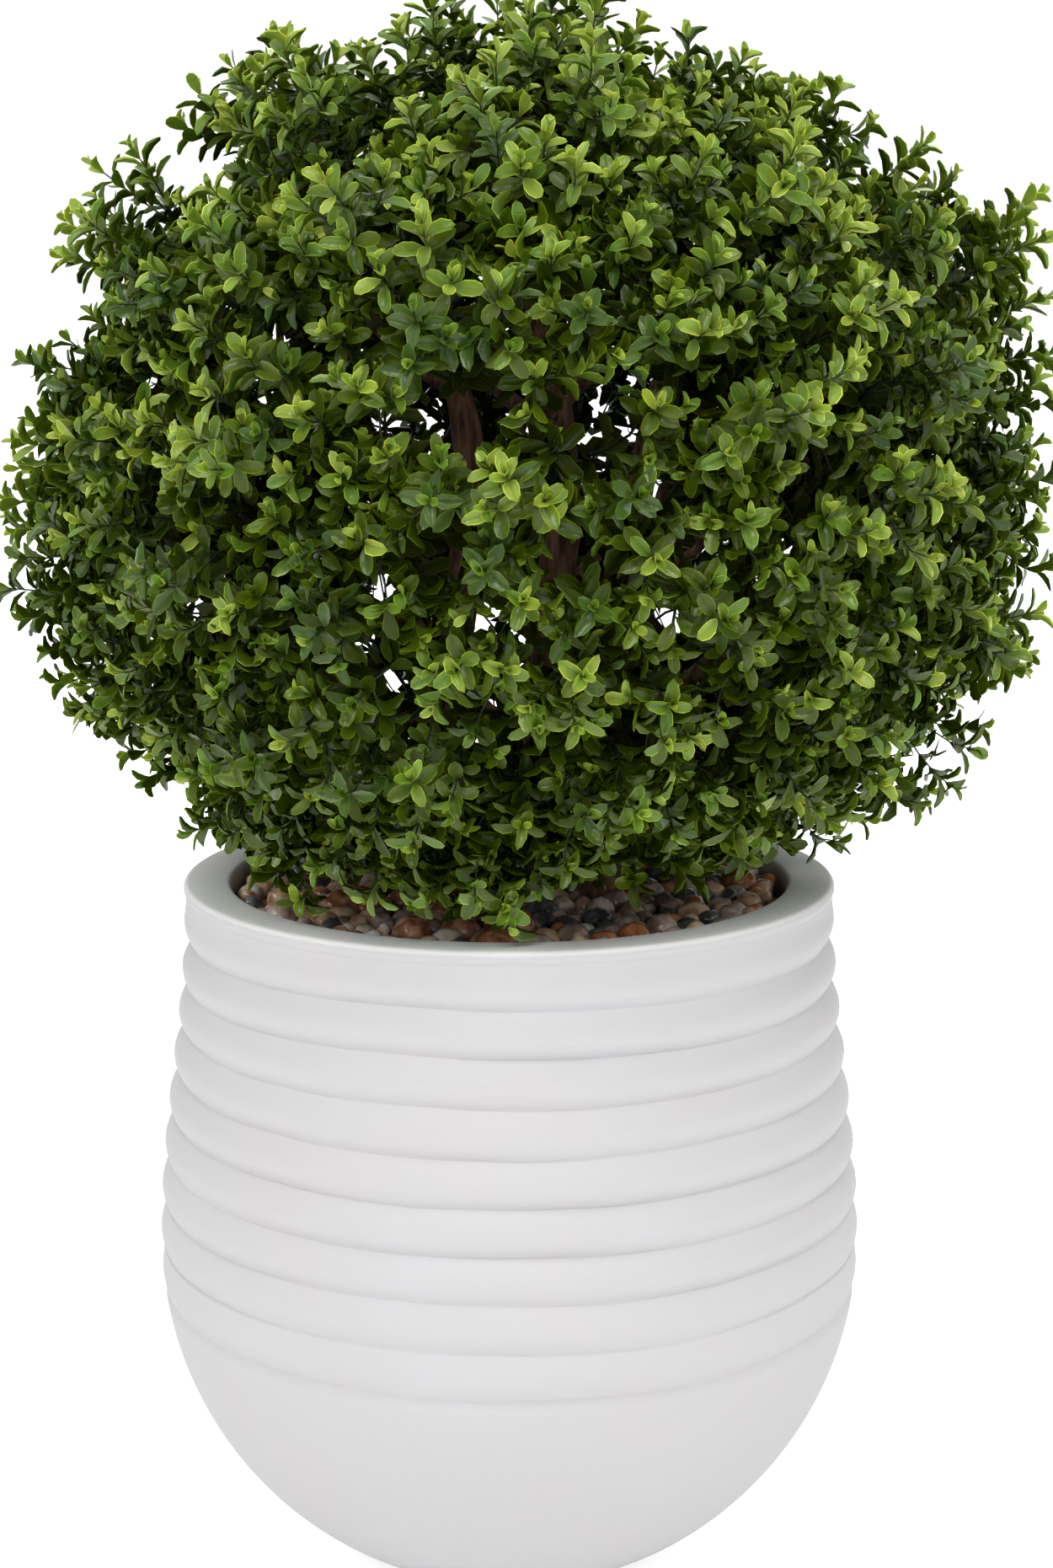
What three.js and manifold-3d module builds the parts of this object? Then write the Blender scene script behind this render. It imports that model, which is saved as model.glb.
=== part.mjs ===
// Artificial box topiary ball in a ribbed planter: real wood trunks and boughs carry masses of
// box foliage that make up one ball, and stand in a filled, round-bellied planter topped with pebbles.
// Millimetres, +Z up. The origin is the middle of the planter's flat underside, and the front,
// where the gap between two masses shows the trunks, faces -Y.

import * as THREE from "three";
import { mergeVertices } from "three/addons/utils/BufferGeometryUtils.js";
import { ConvexGeometry } from "three/addons/geometries/ConvexGeometry.js";
import Module from "manifold-3d";

const wasm = await Module();
wasm.setup();

// Driving dimensions of the planter
const POT_HEIGHT = 480;
const BELLY_RADIUS = 246;
const BELLY_HEIGHT = 222;
const NECK_RADIUS = 224.5;
const MOUTH_RADIUS = 192;
const MOUTH_DEPTH = 18;
const RIM_DEPTH = 8.5;
const RIM_ROUND = 3;
const FOOT_ROUND = 2.5;
const RIB_COUNT = 9;
const RIB_PITCH = 31.2;
const RIB_DEPTH = 4.6;
const RIB_POINTS = [0.22, 0.6, 1];
const BOWL_STEPS = 6;
const WALL = 17;
const FLOOR = 22;
const POT_SIDES = 28;

// Driving dimensions of what fills it
const FIT_GAP = 0.3;
const FILL_GAP = 1.2;
const FILL_TOP = 448;
const BED_TOP = 460;
const BED_RADIUS = MOUTH_RADIUS - 2;
const PEBBLE_SIZE = 38;
const PEBBLE_PITCH = 42;
const PEBBLE_RINGS = [168, 126];

// Driving dimensions of the ball: its centre, its reach to the side and to the top, and the
// height that its underside keeps above the rim
const BALL_CENTRE = new THREE.Vector3(12, 0, 750);
const BALL_REACH = 352;
const BALL_TOP_REACH = 323;
const SKIRT_HEIGHT = 486;

// The shell of the ball that the cores fill, as shares of its reach, and the gap between two cores
const CORE_INNER = 0.54;
const CORE_OUTER = 0.82;
const CORE_LUMPS = 0.06;
const CORE_GAP = 7;
const CORE_FLOOR = 508;
const CELL_MARGIN = 1.5;
const RIM_CLEARANCE = 2;
const PEBBLE_CLEARANCE = 15;
const LIMB_CLEARANCE = 3;

// The gap in front that shows the trunks, and the free space round them under the ball
const WINDOW = { x: 8, z: 776, radius: 46, back: -150 };
const TRUNK_SPACE = { x: 14, y: -2, radius: 85, top: 640 };

// Leaves stand for small sprays of the real 20 mm leaves. Each twig ends in crossed pairs of them:
// how far back from its end each pair grows, and how far its leaves lean out.
const LEAF_LENGTH = 68;
const LEAF_WIDTH = 40;
const LEAF_THICKNESS = 3.4;
const PAIRS = [{ back: 0, lean: 40 }, { back: 14, lean: 70 }];
const TURNS = 8;
const TWIG_COUNT = 112;
const TWIG_RADIUS = 3;
const ROOT_DEPTH = 2;

const SEED = 20;

const materials = {
  planter: new THREE.MeshStandardMaterial({ color: 0xe2e1df, roughness: 0.75, metalness: 0 }),
  filling: new THREE.MeshStandardMaterial({ color: 0x3b332b, roughness: 1, metalness: 0 }),
  pebbles: new THREE.MeshStandardMaterial({ color: 0x8a6a55, roughness: 0.55, metalness: 0 }),
  bark: new THREE.MeshStandardMaterial({ color: 0x5d4034, roughness: 0.9, metalness: 0 }),
  foliage: new THREE.MeshStandardMaterial({ color: 0x4c6a2a, roughness: 0.5, metalness: 0 }),
};

const part = new THREE.Group();

// A repeatable random number maker: the same seed always gives the same plant.
function randomFrom(seed) {
  let state = seed >>> 0;
  return () => {
    state = (Math.imul(state, 1664525) + 1013904223) >>> 0;
    return state / 4294967296;
  };
}

function toSolid(geometry) {
  const bare = geometry.clone();
  bare.deleteAttribute("normal");
  bare.deleteAttribute("uv");
  const merged = mergeVertices(bare, 1e-4);
  return new wasm.Manifold(
    new wasm.Mesh({
      numProp: 3,
      vertProperties: new Float32Array(merged.attributes.position.array),
      triVerts: new Uint32Array(merged.index.array),
    }),
  );
}

function toGeometry(solid) {
  const mesh = solid.getMesh();
  const geometry = new THREE.BufferGeometry();
  geometry.setAttribute("position", new THREE.BufferAttribute(mesh.vertProperties, mesh.numProp));
  geometry.setIndex(new THREE.BufferAttribute(mesh.triVerts, 1));
  geometry.computeVertexNormals();
  return geometry;
}

function addNode(name, geometry, material) {
  const mesh = new THREE.Mesh(geometry, material);
  mesh.name = name;
  part.add(mesh);
}

// The largest single body of a solid, so that scraps left by a cut are dropped.
function largestBody(solid) {
  return solid.decompose().reduce((best, body) => (body.volume() > best.volume() ? body : best));
}

// Planter: a fibre-clay shell with a round bowl, scalloped ribs and a rolled rim

// The radius that the crests of the ribs follow, from the bowl's sphere up to the neck.
function bodyRadius(z) {
  if (z < BELLY_HEIGHT) return Math.sqrt(BELLY_RADIUS ** 2 - (BELLY_HEIGHT - z) ** 2);
  const rise = (z - BELLY_HEIGHT) / (POT_HEIGHT - BELLY_HEIGHT);
  return NECK_RADIUS + (BELLY_RADIUS - NECK_RADIUS) * (0.5 + 0.5 * Math.cos(Math.PI * rise));
}

function planterProfile() {
  const ribsTop = POT_HEIGHT - RIM_DEPTH;
  const ribsFoot = ribsTop - RIB_COUNT * RIB_PITCH;
  const points = [[0, 0], [bodyRadius(0) - FOOT_ROUND, 0], [bodyRadius(FOOT_ROUND), FOOT_ROUND]];
  for (let i = 1; i <= BOWL_STEPS; i++) {
    const z = FOOT_ROUND + ((ribsFoot - FOOT_ROUND) * i) / BOWL_STEPS;
    points.push([bodyRadius(z), z]);
  }
  for (let rib = 0; rib < RIB_COUNT; rib++) {
    const depth = RIB_DEPTH * Math.min(1, 0.4 + 0.3 * rib);
    for (const share of RIB_POINTS) {
      const z = ribsFoot + (rib + share) * RIB_PITCH;
      const crest = Math.sin(Math.PI * share) ** 0.7;
      points.push([bodyRadius(z) - depth * (1 - crest), z]);
    }
  }
  points.push([NECK_RADIUS, ribsTop + RIM_ROUND], [NECK_RADIUS, POT_HEIGHT - RIM_ROUND]);
  points.push([NECK_RADIUS - RIM_ROUND, POT_HEIGHT], [MOUTH_RADIUS + RIM_ROUND, POT_HEIGHT]);
  points.push([MOUTH_RADIUS, POT_HEIGHT - RIM_ROUND]);
  return points.concat(innerProfile().reverse());
}

// The hollow's wall from its floor up to the mouth, which the rolled rim narrows.
function innerProfile() {
  const points = [[0, FLOOR], [bodyRadius(FLOOR) - 1.7 * WALL, FLOOR]];
  for (const z of [60, 130, BELLY_HEIGHT, 330, 420]) {
    points.push([bodyRadius(z) - WALL, z]);
  }
  points.push([MOUTH_RADIUS, POT_HEIGHT - MOUTH_DEPTH]);
  return points;
}

function lathe(points, sides) {
  const profile = points.map(([r, z]) => new THREE.Vector2(r, z));
  return new THREE.LatheGeometry(profile, sides).rotateX(Math.PI / 2);
}

addNode("planter", lathe(planterProfile(), POT_SIDES), materials.planter);

// Filling: the cast plug that the trunks stand on, just clear of the hollow's wall

function fillingProfile() {
  const inner = innerProfile().filter(([, z]) => z < FILL_TOP);
  const wall = inner.map(([r, z], i) => [Math.max(0, r - FILL_GAP), i < 2 ? z + FIT_GAP : z]);
  const [neckR, neckZ] = inner.at(-1);
  const share = (FILL_TOP - neckZ) / (POT_HEIGHT - MOUTH_DEPTH - neckZ);
  const topR = neckR + (MOUTH_RADIUS - neckR) * share - FILL_GAP;
  return [...wall, [topR, FILL_TOP], [0, FILL_TOP]];
}

addNode("filling", lathe(fillingProfile(), POT_SIDES), materials.filling);

// Trunks: three lengths of real wood with a root flare, each sawn flat where it stands

const TRUNKS = {
  left: {
    at: [-34, -8], foot: 15, tip: 8.5,
    bends: [[-33, -6, 530], [-40, -10, 615], [-30, -14, 690], [-26, -11, 760], [-38, -4, 838]],
  },
  middle: {
    at: [16, 20], foot: 17, tip: 9,
    bends: [[19, 22, 540], [26, 16, 640], [37, 6, 730], [33, 2, 800], [22, 4, 872]],
  },
  right: {
    at: [62, -20], foot: 14, tip: 8,
    bends: [[63, -20, 530], [67, -22, 610], [75, -24, 690], [92, -18, 770], [104, -10, 818]],
  },
};
const TRUNK_SIDES = 6;
const TRUNK_STEPS = 9;
const FLARE = 0.6;
const FLARE_HEIGHT = 45;
const SUNK = 12;
const STAND = FILL_TOP + FIT_GAP;

// A tapering round limb along a curve: a cylinder whose rings are laid on the curve.
function limb(curve, radiusAt, sides, steps) {
  const frames = curve.computeFrenetFrames(steps, false);
  const geometry = new THREE.CylinderGeometry(1, 1, 1, sides, steps);
  const position = geometry.attributes.position;
  for (let i = 0; i < position.count; i++) {
    const along = position.getY(i) + 0.5;
    const ring = Math.round(along * steps);
    const radius = radiusAt(along);
    const point = curve.getPointAt(along)
      .addScaledVector(frames.binormals[ring], position.getX(i) * radius)
      .addScaledVector(frames.normals[ring], position.getZ(i) * radius);
    position.setXYZ(i, point.x, point.y, point.z);
  }
  return geometry;
}

function smoothCurve(points) {
  return new THREE.CatmullRomCurve3(points.map((p) => new THREE.Vector3(...p)), false, "centripetal");
}

// A trunk, run a little below where it stands and then sawn off level, with a clearance all round.
function trunkSolid(trunk, clearance) {
  const length = trunk.curve.getLength();
  const radius = (along) => {
    const flare = FLARE * Math.exp((-along * length) / FLARE_HEIGHT);
    return (trunk.foot + (trunk.tip - trunk.foot) * along) * (1 + flare) + clearance;
  };
  const whole = toSolid(limb(trunk.curve, radius, TRUNK_SIDES, TRUNK_STEPS));
  return whole.trimByPlane([0, 0, 1], STAND - clearance);
}

for (const [name, trunk] of Object.entries(TRUNKS)) {
  trunk.curve = smoothCurve([[...trunk.at, STAND - SUNK], ...trunk.bends]);
  trunk.cleared = trunkSolid(trunk, FIT_GAP);
  addNode(`trunk_${name}`, toGeometry(trunkSolid(trunk, 0)), materials.bark);
}

// Pebbles: flattened stones bedded in one layer that closes round the trunks

function bedDisc(top) {
  return new THREE.CylinderGeometry(BED_RADIUS, BED_RADIUS, top - STAND, POT_SIDES)
    .rotateX(Math.PI / 2)
    .translate(0, 0, (top + STAND) / 2);
}

function pebbleBed() {
  const next = randomFrom(SEED + 500);
  const stones = [toSolid(bedDisc(BED_TOP))];
  for (const ring of PEBBLE_RINGS) {
    const count = Math.round((2 * Math.PI * ring) / PEBBLE_PITCH);
    for (let i = 0; i < count; i++) {
      const angle = ((i + 0.3 * next()) / count) * 2 * Math.PI + ring;
      const size = (PEBBLE_SIZE / 2) * (0.8 + 0.3 * next());
      const stone = new THREE.IcosahedronGeometry(1, 0)
        .rotateZ(6 * next())
        .scale(size, size * 0.8, size * 0.6)
        .rotateZ(6 * next())
        .translate(ring * Math.cos(angle), ring * Math.sin(angle), BED_TOP + 1 + 3 * next());
      stones.push(toSolid(stone));
    }
  }
  const joined = wasm.Manifold.union(stones).intersect(toSolid(bedDisc(POT_HEIGHT)));
  return Object.values(TRUNKS).reduce((left, trunk) => left.subtract(trunk.cleared), joined);
}

addNode("pebbles", toGeometry(largestBody(pebbleBed())), materials.pebbles);

// The ball is dealt out to masses: one on top and three rings, each with the trunk that bears it.
// Every direction belongs to the mass whose own direction is nearest, so the masses keep apart.

const RINGS = [
  { name: "top", elevation: 88, start: -90, reach: [1.0], bearers: ["middle"] },
  {
    name: "upper", elevation: 46, start: -90, reach: [0.98, 1.07, 0.98, 1.0, 1.0],
    bearers: ["middle", "right", "middle", "middle", "left"],
  },
  {
    name: "middle", elevation: 5, start: -60, reach: [0.99, 1.02, 1.0, 0.98, 1.0, 1.0],
    bearers: ["right", "right", "middle", "middle", "left", "left"],
  },
  {
    name: "lower", elevation: -36, start: -90, reach: [1.0, 0.99, 1.0, 0.97, 1.0],
    bearers: ["middle", "right", "middle", "middle", "left"],
  },
];

function direction(azimuth, elevation) {
  const a = THREE.MathUtils.degToRad(azimuth);
  const e = THREE.MathUtils.degToRad(elevation);
  return new THREE.Vector3(Math.cos(a) * Math.cos(e), Math.sin(a) * Math.cos(e), Math.sin(e));
}

const masses = RINGS.flatMap((ring) =>
  ring.bearers.map((bearer, i) => ({
    name: ring.bearers.length > 1 ? `${ring.name}_${i + 1}` : ring.name,
    toward: direction(ring.start + (360 * i) / ring.bearers.length, ring.elevation),
    reach: ring.reach[i],
    bearer: TRUNKS[bearer],
  })),
);

// How far a share of the ball reaches in a direction: an ellipsoid over a sphere, cut off level
// above the planter.
function ballReach(toward, share = 1, floor = SKIRT_HEIGHT) {
  const up = toward.z > 0 ? BALL_TOP_REACH : BALL_REACH;
  const flat = Math.hypot(toward.x, toward.y) / BALL_REACH;
  const reach = share / Math.hypot(flat, toward.z / up);
  return toward.z < 0 ? Math.min(reach, (BALL_CENTRE.z - floor) / -toward.z) : reach;
}

function inBall(toward, share, floor = SKIRT_HEIGHT) {
  return BALL_CENTRE.clone().addScaledVector(toward, ballReach(toward, share, floor));
}

// The faces of a mass's space, one to each neighbour, as directions that point into it.
for (const mass of masses) {
  const others = masses.filter((other) => other !== mass);
  mass.faces = others.map((other) => mass.toward.clone().sub(other.toward).normalize());
}

// True if a point is in the space of a mass: on its side of every neighbour, above the pebbles and
// the rim, and out of the gap in front and of the free space round the trunks.
function inSpace(point, mass) {
  const out = point.clone().sub(BALL_CENTRE);
  const apart = mass.faces.every((face) => face.dot(out) > CELL_MARGIN);
  const overRim = Math.hypot(point.x, point.y) > MOUTH_RADIUS - RIM_ROUND;
  const above = point.z > (overRim ? POT_HEIGHT + RIM_CLEARANCE : BED_TOP + PEBBLE_CLEARANCE);
  const fromWindow = Math.hypot(point.x - WINDOW.x, point.z - WINDOW.z);
  const inWindow = point.y < WINDOW.back && fromWindow < WINDOW.radius;
  const fromTrunks = Math.hypot(point.x - TRUNK_SPACE.x, point.y - TRUNK_SPACE.y);
  const byTrunks = point.z < TRUNK_SPACE.top && fromTrunks < TRUNK_SPACE.radius;
  return apart && above && !inWindow && !byTrunks;
}

// Boughs: one tapering limb from the bearing trunk to the inside of each mass

const BOUGH_SIDES = 4;
const BOUGH_STEPS = 4;
const BOUGH_FOOT = 6.2;
const BOUGH_TIP = 3.6;
const BOUGH_REACH = 0.5;
const BOUGH_RISE = 0.55;
const BOUGH_SAG = 0.1;
const LOWEST_FORK = 0.3;
const HIGHEST_FORK = 0.95;

// A bough leaves its trunk as far below its tip as its slope asks, and sags a little on its way.
function boughCurve(mass) {
  const tip = inBall(mass.toward, BOUGH_REACH);
  const trunk = mass.bearer.curve;
  const middle = trunk.getPointAt((LOWEST_FORK + HIGHEST_FORK) / 2);
  const spread = Math.hypot(tip.x - middle.x, tip.y - middle.y);
  const forkHeight = tip.z - BOUGH_RISE * spread - BOUGH_FOOT * 3;
  let along = LOWEST_FORK;
  while (along < HIGHEST_FORK && trunk.getPointAt(along).z < forkHeight) along += 0.01;
  const foot = trunk.getPointAt(along);
  const knee = foot.clone().lerp(tip, 0.45).add(new THREE.Vector3(0, 0, -BOUGH_SAG * spread));
  return new THREE.CatmullRomCurve3([foot, knee, tip], false, "centripetal");
}

const limbPoints = Object.values(TRUNKS).flatMap((trunk) =>
  trunk.curve.getSpacedPoints(24).map((at) => ({ at, radius: trunk.foot })),
);

function boughSolid(mass, clearance) {
  const radius = (along) => BOUGH_FOOT + (BOUGH_TIP - BOUGH_FOOT) * along + clearance;
  return toSolid(limb(mass.boughCurve, radius, BOUGH_SIDES, BOUGH_STEPS));
}

for (const mass of masses) {
  mass.boughCurve = boughCurve(mass);
  mass.boughCleared = boughSolid(mass, FIT_GAP);
  const bough = largestBody(boughSolid(mass, 0).subtract(mass.bearer.cleared));
  addNode(`bough_${mass.name}`, toGeometry(bough), materials.bark);
  limbPoints.push(...mass.boughCurve.getSpacedPoints(12).map((at) => ({ at, radius: BOUGH_FOOT })));
}

// Foliage: a core that twigs stand out of, with crossed pairs of leaves at each twig's end

// A box leaf: narrow at its root, blunt at its tip, and ridged along the middle.
function leafGeometry(length) {
  const half = (LEAF_WIDTH / 2) * (length / LEAF_LENGTH);
  const points = [[0, 0, 0], [0.55, 1, 0], [1, 0.3, 0], [1, -0.3, 0], [0.55, -1, 0], [0.5, 0, 1]];
  return new ConvexGeometry(
    points.map(([x, y, z]) => new THREE.Vector3(x * length, y * half, z * LEAF_THICKNESS)),
  );
}

// Turns a shape whose X runs along it and Z faces up to lie along one direction, facing another.
function lay(geometry, root, along, facing) {
  const x = along.clone().normalize();
  const y = facing.clone().cross(x).normalize();
  const z = x.clone().cross(y);
  return geometry.applyMatrix4(new THREE.Matrix4().makeBasis(x, y, z).setPosition(root));
}

function clearOfLimbs(point) {
  return limbPoints.every(({ at, radius }) => at.distanceTo(point) > radius + LIMB_CLEARANCE);
}

function vertices(geometry) {
  const { position } = geometry.attributes;
  return Array.from({ length: position.count }, (_, i) =>
    new THREE.Vector3().fromBufferAttribute(position, i),
  );
}

// The crossed pairs of leaves at a twig's end. A leaf that would leave the space is skipped.
function leavesAt(end, heading, turn, length, mass) {
  const across = new THREE.Vector3(0.31, 0.17, 0.93).cross(heading).normalize();
  return PAIRS.flatMap(({ back, lean }, i) => {
    const side = across.clone().applyAxisAngle(heading, turn + (i * Math.PI) / 2);
    const angle = THREE.MathUtils.degToRad(lean);
    return [1, -1].flatMap((hand) => {
      const outward = side.clone().multiplyScalar(hand);
      const along = heading.clone().multiplyScalar(Math.cos(angle));
      along.addScaledVector(outward, Math.sin(angle));
      const facing = heading.clone().addScaledVector(along, -heading.dot(along));
      const root = end.clone().addScaledVector(heading, -back - ROOT_DEPTH).addScaledVector(outward, 0.3);
      const leaf = lay(leafGeometry(length), root, along, facing);
      const fits = vertices(leaf).every((point) => inSpace(point, mass) && clearOfLimbs(point));
      return fits ? [leaf] : [];
    });
  });
}

// The leaves of a twig, turned the way that lets most of them fit.
function rosette(end, heading, mass, next) {
  const first = next() * Math.PI;
  const length = LEAF_LENGTH * (0.92 + 0.16 * next());
  const turns = Array.from({ length: TURNS }, (_, i) => first + (i * Math.PI) / TURNS);
  return turns
    .map((turn) => leavesAt(end, heading, turn, length, mass))
    .reduce((best, leaves) => (leaves.length > best.length ? leaves : best));
}

// Directions spread evenly over a ball, turn by turn from its foot to its top.
function evenDirections(count) {
  const golden = Math.PI * (3 - Math.sqrt(5));
  return Array.from({ length: count }, (_, i) => {
    const z = -1 + (2 * i + 1) / count;
    const across = Math.sqrt(1 - z * z);
    return new THREE.Vector3(across * Math.cos(i * golden), across * Math.sin(i * golden), z);
  });
}

// The lumpy ball that the cores are parts of, at a share of the ball's reach.
function lumpyBall(share, detail, next) {
  const ball = new THREE.IcosahedronGeometry(1, detail);
  ball.deleteAttribute("normal");
  ball.deleteAttribute("uv");
  const merged = mergeVertices(ball, 1e-3);
  const position = merged.attributes.position;
  for (let i = 0; i < position.count; i++) {
    const toward = new THREE.Vector3().fromBufferAttribute(position, i).normalize();
    const point = inBall(toward, share * (1 - CORE_LUMPS + 2 * CORE_LUMPS * next()), CORE_FLOOR);
    position.setXYZ(i, point.x, point.y, point.z);
  }
  return toSolid(merged);
}

function standingCylinder(radius, bottom, top) {
  return new THREE.CylinderGeometry(radius, radius, top - bottom, 10)
    .rotateX(Math.PI / 2)
    .translate(0, 0, (top + bottom) / 2);
}

// The shell that all cores share: hollow inside, open in front and round the trunks.
function coreShell() {
  const next = randomFrom(SEED + 900);
  const shell = lumpyBall(CORE_OUTER, 3, next).subtract(lumpyBall(CORE_INNER, 1, next));
  const column = standingCylinder(TRUNK_SPACE.radius, 0, TRUNK_SPACE.top)
    .translate(TRUNK_SPACE.x, TRUNK_SPACE.y, 0);
  const gap = standingCylinder(WINDOW.radius, -WINDOW.back, 2 * BALL_REACH)
    .rotateX(Math.PI / 2)
    .translate(WINDOW.x, 0, WINDOW.z);
  return shell.subtract(toSolid(column)).subtract(toSolid(gap));
}

// The part of the shell in one mass's space, drawn in from its neighbours.
function coreSolid(shell, mass) {
  return mass.faces.reduce(
    (core, face) => core.trimByPlane(face.toArray(), face.dot(BALL_CENTRE) + CORE_GAP / 2),
    shell,
  );
}

// One mass: its stem, its core, and its twigs bending out from the stem to where the ball ends.
function massSolid(mass, shell, index) {
  const next = randomFrom(SEED + index * 7919);
  const tip = mass.boughCurve.getPointAt(1);
  const stemFoot = tip.clone().addScaledVector(mass.boughCurve.getTangentAt(1), FIT_GAP);
  const heart = inBall(mass.toward, (CORE_INNER + CORE_OUTER) / 2);
  const stemRadius = (along) => BOUGH_TIP * (1 - 0.2 * along);
  const stem = limb(new THREE.LineCurve3(stemFoot, heart), stemRadius, BOUGH_SIDES, 1);
  const pieces = [toSolid(stem), coreSolid(shell, mass)];
  const leafReach = LEAF_LENGTH * Math.cos(THREE.MathUtils.degToRad(PAIRS[0].lean));
  for (const out of mass.twigs) {
    const reach = ballReach(out) * mass.reach * (0.96 + 0.04 * next()) - leafReach;
    const end = BALL_CENTRE.clone().addScaledVector(out, reach);
    if (!inSpace(end, mass)) continue;
    const knee = inBall(out, (CORE_INNER + 2 * CORE_OUTER) / 3);
    const twig = new THREE.QuadraticBezierCurve3(heart, knee, end);
    const leaves = rosette(end, twig.getTangentAt(1), mass, next);
    const radius = (along) => TWIG_RADIUS * (1 - 0.4 * along);
    if (leaves.length) pieces.push(toSolid(limb(twig, radius, 3, 2)), ...leaves.map(toSolid));
  }
  return largestBody(wasm.Manifold.union(pieces).subtract(mass.boughCleared));
}

for (const out of evenDirections(TWIG_COUNT)) {
  const nearer = (best, mass) => (mass.toward.dot(out) > best.toward.dot(out) ? mass : best);
  const owner = masses.reduce(nearer);
  owner.twigs = [...(owner.twigs ?? []), out];
}

const shell = coreShell();
masses.forEach((mass, index) => {
  addNode(`foliage_${mass.name}`, toGeometry(massSolid(mass, shell, index)), materials.foliage);
});

export default part;
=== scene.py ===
"""A box topiary ball in a ribbed planter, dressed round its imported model. Metres, +Z up."""

import math

import bpy
import numpy as np
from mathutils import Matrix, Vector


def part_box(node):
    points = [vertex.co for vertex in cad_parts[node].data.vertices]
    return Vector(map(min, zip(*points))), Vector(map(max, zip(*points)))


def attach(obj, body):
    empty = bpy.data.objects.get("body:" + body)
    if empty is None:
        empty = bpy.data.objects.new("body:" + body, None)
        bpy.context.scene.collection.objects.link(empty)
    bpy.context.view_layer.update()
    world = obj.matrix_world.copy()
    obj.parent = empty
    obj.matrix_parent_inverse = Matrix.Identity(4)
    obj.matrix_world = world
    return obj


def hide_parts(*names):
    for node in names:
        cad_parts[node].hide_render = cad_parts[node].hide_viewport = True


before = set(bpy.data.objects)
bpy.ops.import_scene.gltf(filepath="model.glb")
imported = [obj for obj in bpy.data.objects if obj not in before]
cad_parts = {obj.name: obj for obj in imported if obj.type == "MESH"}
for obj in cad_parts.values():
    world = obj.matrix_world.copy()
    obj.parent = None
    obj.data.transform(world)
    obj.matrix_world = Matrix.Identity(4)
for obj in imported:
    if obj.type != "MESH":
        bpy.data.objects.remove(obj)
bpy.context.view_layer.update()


# Planter
# A tall round pot of fibre clay: a smooth bowl, nine ribs pressed round it by hand, so that their
# creases run in slow waves, and a rolled rim. It is cast in a mould and washed with matt white.
POT_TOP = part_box("planter")[1]
POT_HEIGHT = POT_TOP.z
BELLY_RADIUS = POT_TOP.x
BELLY_HEIGHT = 0.222
NECK_RADIUS = 0.2245
WALL = 0.017
FLOOR_THICKNESS = 0.022
FLOOR_EDGE = 1.7 * WALL
FLOOR_MIDDLE = 0.03
INSIDE_HEIGHTS = (0.42, 0.33, BELLY_HEIGHT, 0.13, 0.06)
FOOT_ROUND = 0.003
FOOT_ROWS = (0.35, 0.7, 0.9)
BOWL_ROWS = 40
MOUTH_RADIUS = 0.192
MOUTH_DEPTH = 0.018
LIP_RADIUS = NECK_RADIUS + 0.0004
LIP_HEIGHT = 0.0085
LIP_ROUND = 0.004
LIP_CUT = 0.0018
LIP_CUT_HEIGHT = 0.0012
LIP_SLOPE = 0.012
LIP_FALLS = (0.0003, 0.0006, 0.0008)
POT_SIDES = 192
RIB_COUNT = 9
RIB_PITCH = 0.0312
RIBS_TOP = POT_HEIGHT - LIP_HEIGHT
RIBS_FOOT = RIBS_TOP - RIB_COUNT * RIB_PITCH
RIB_ROWS = [0, 0.035, 0.09, 0.17, 0.28, 0.4, 0.52, 0.64, 0.75, 0.85, 0.93, 0.975]
RIB_DEPTH = 0.0070
RIB_PEAK = 0.86
LOWEST_RIB_SHARE = 0.4
RIB_SHARE_GAIN = 0.3
LIP_RIB_SHARE = 0.15
RIB_WAVE = 0.0042
RIB_SEED = 3.0
# A wander is how often it waves round the pot, and how far the wave moves on from rib to rib.
DEPTH_WANDER = (1.4, 0.8)
DEPTH_SWING = 0.5
DEPTH_MEAN = 0.95
LONG_WANDER = (1.1, 0.24)
SHORT_WANDER = (6.0, 0.9)
SHORT_SHARE = 0.22
WASH_COOL = "#CAC9CB"
WASH_WARM = "#CAC8C8"
# The near white of the painted light on the lip's top.
LIP_PAINTED_LIGHT = "#FAFAF9"
WASH_PATCH = 0.09
# How far below the top the painted light on the lip is full.
LIP_LIGHT_INSET = 0.0005
CLAY_GRAIN = 0.0016
CLAY_RELIEF = 0.00012
NEAR = 1e-6


def body_radius(z):
    """The radius that the crests of the ribs follow, from the bowl up to the neck."""
    if z < BELLY_HEIGHT:
        return math.sqrt(BELLY_RADIUS**2 - (BELLY_HEIGHT - z) ** 2)
    rise = (z - BELLY_HEIGHT) / (POT_HEIGHT - BELLY_HEIGHT)
    return NECK_RADIUS + (BELLY_RADIUS - NECK_RADIUS) * (0.5 + 0.5 * math.cos(math.pi * rise))


def quarter_round(centre, radius, start, turn, steps=5):
    """The points of a rounded edge, from one angle through a turn, both in degrees."""
    angles = [math.radians(start + turn * i / steps) for i in range(steps + 1)]
    return [(centre[0] + radius * math.cos(a), centre[1] + radius * math.sin(a)) for a in angles]


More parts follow.
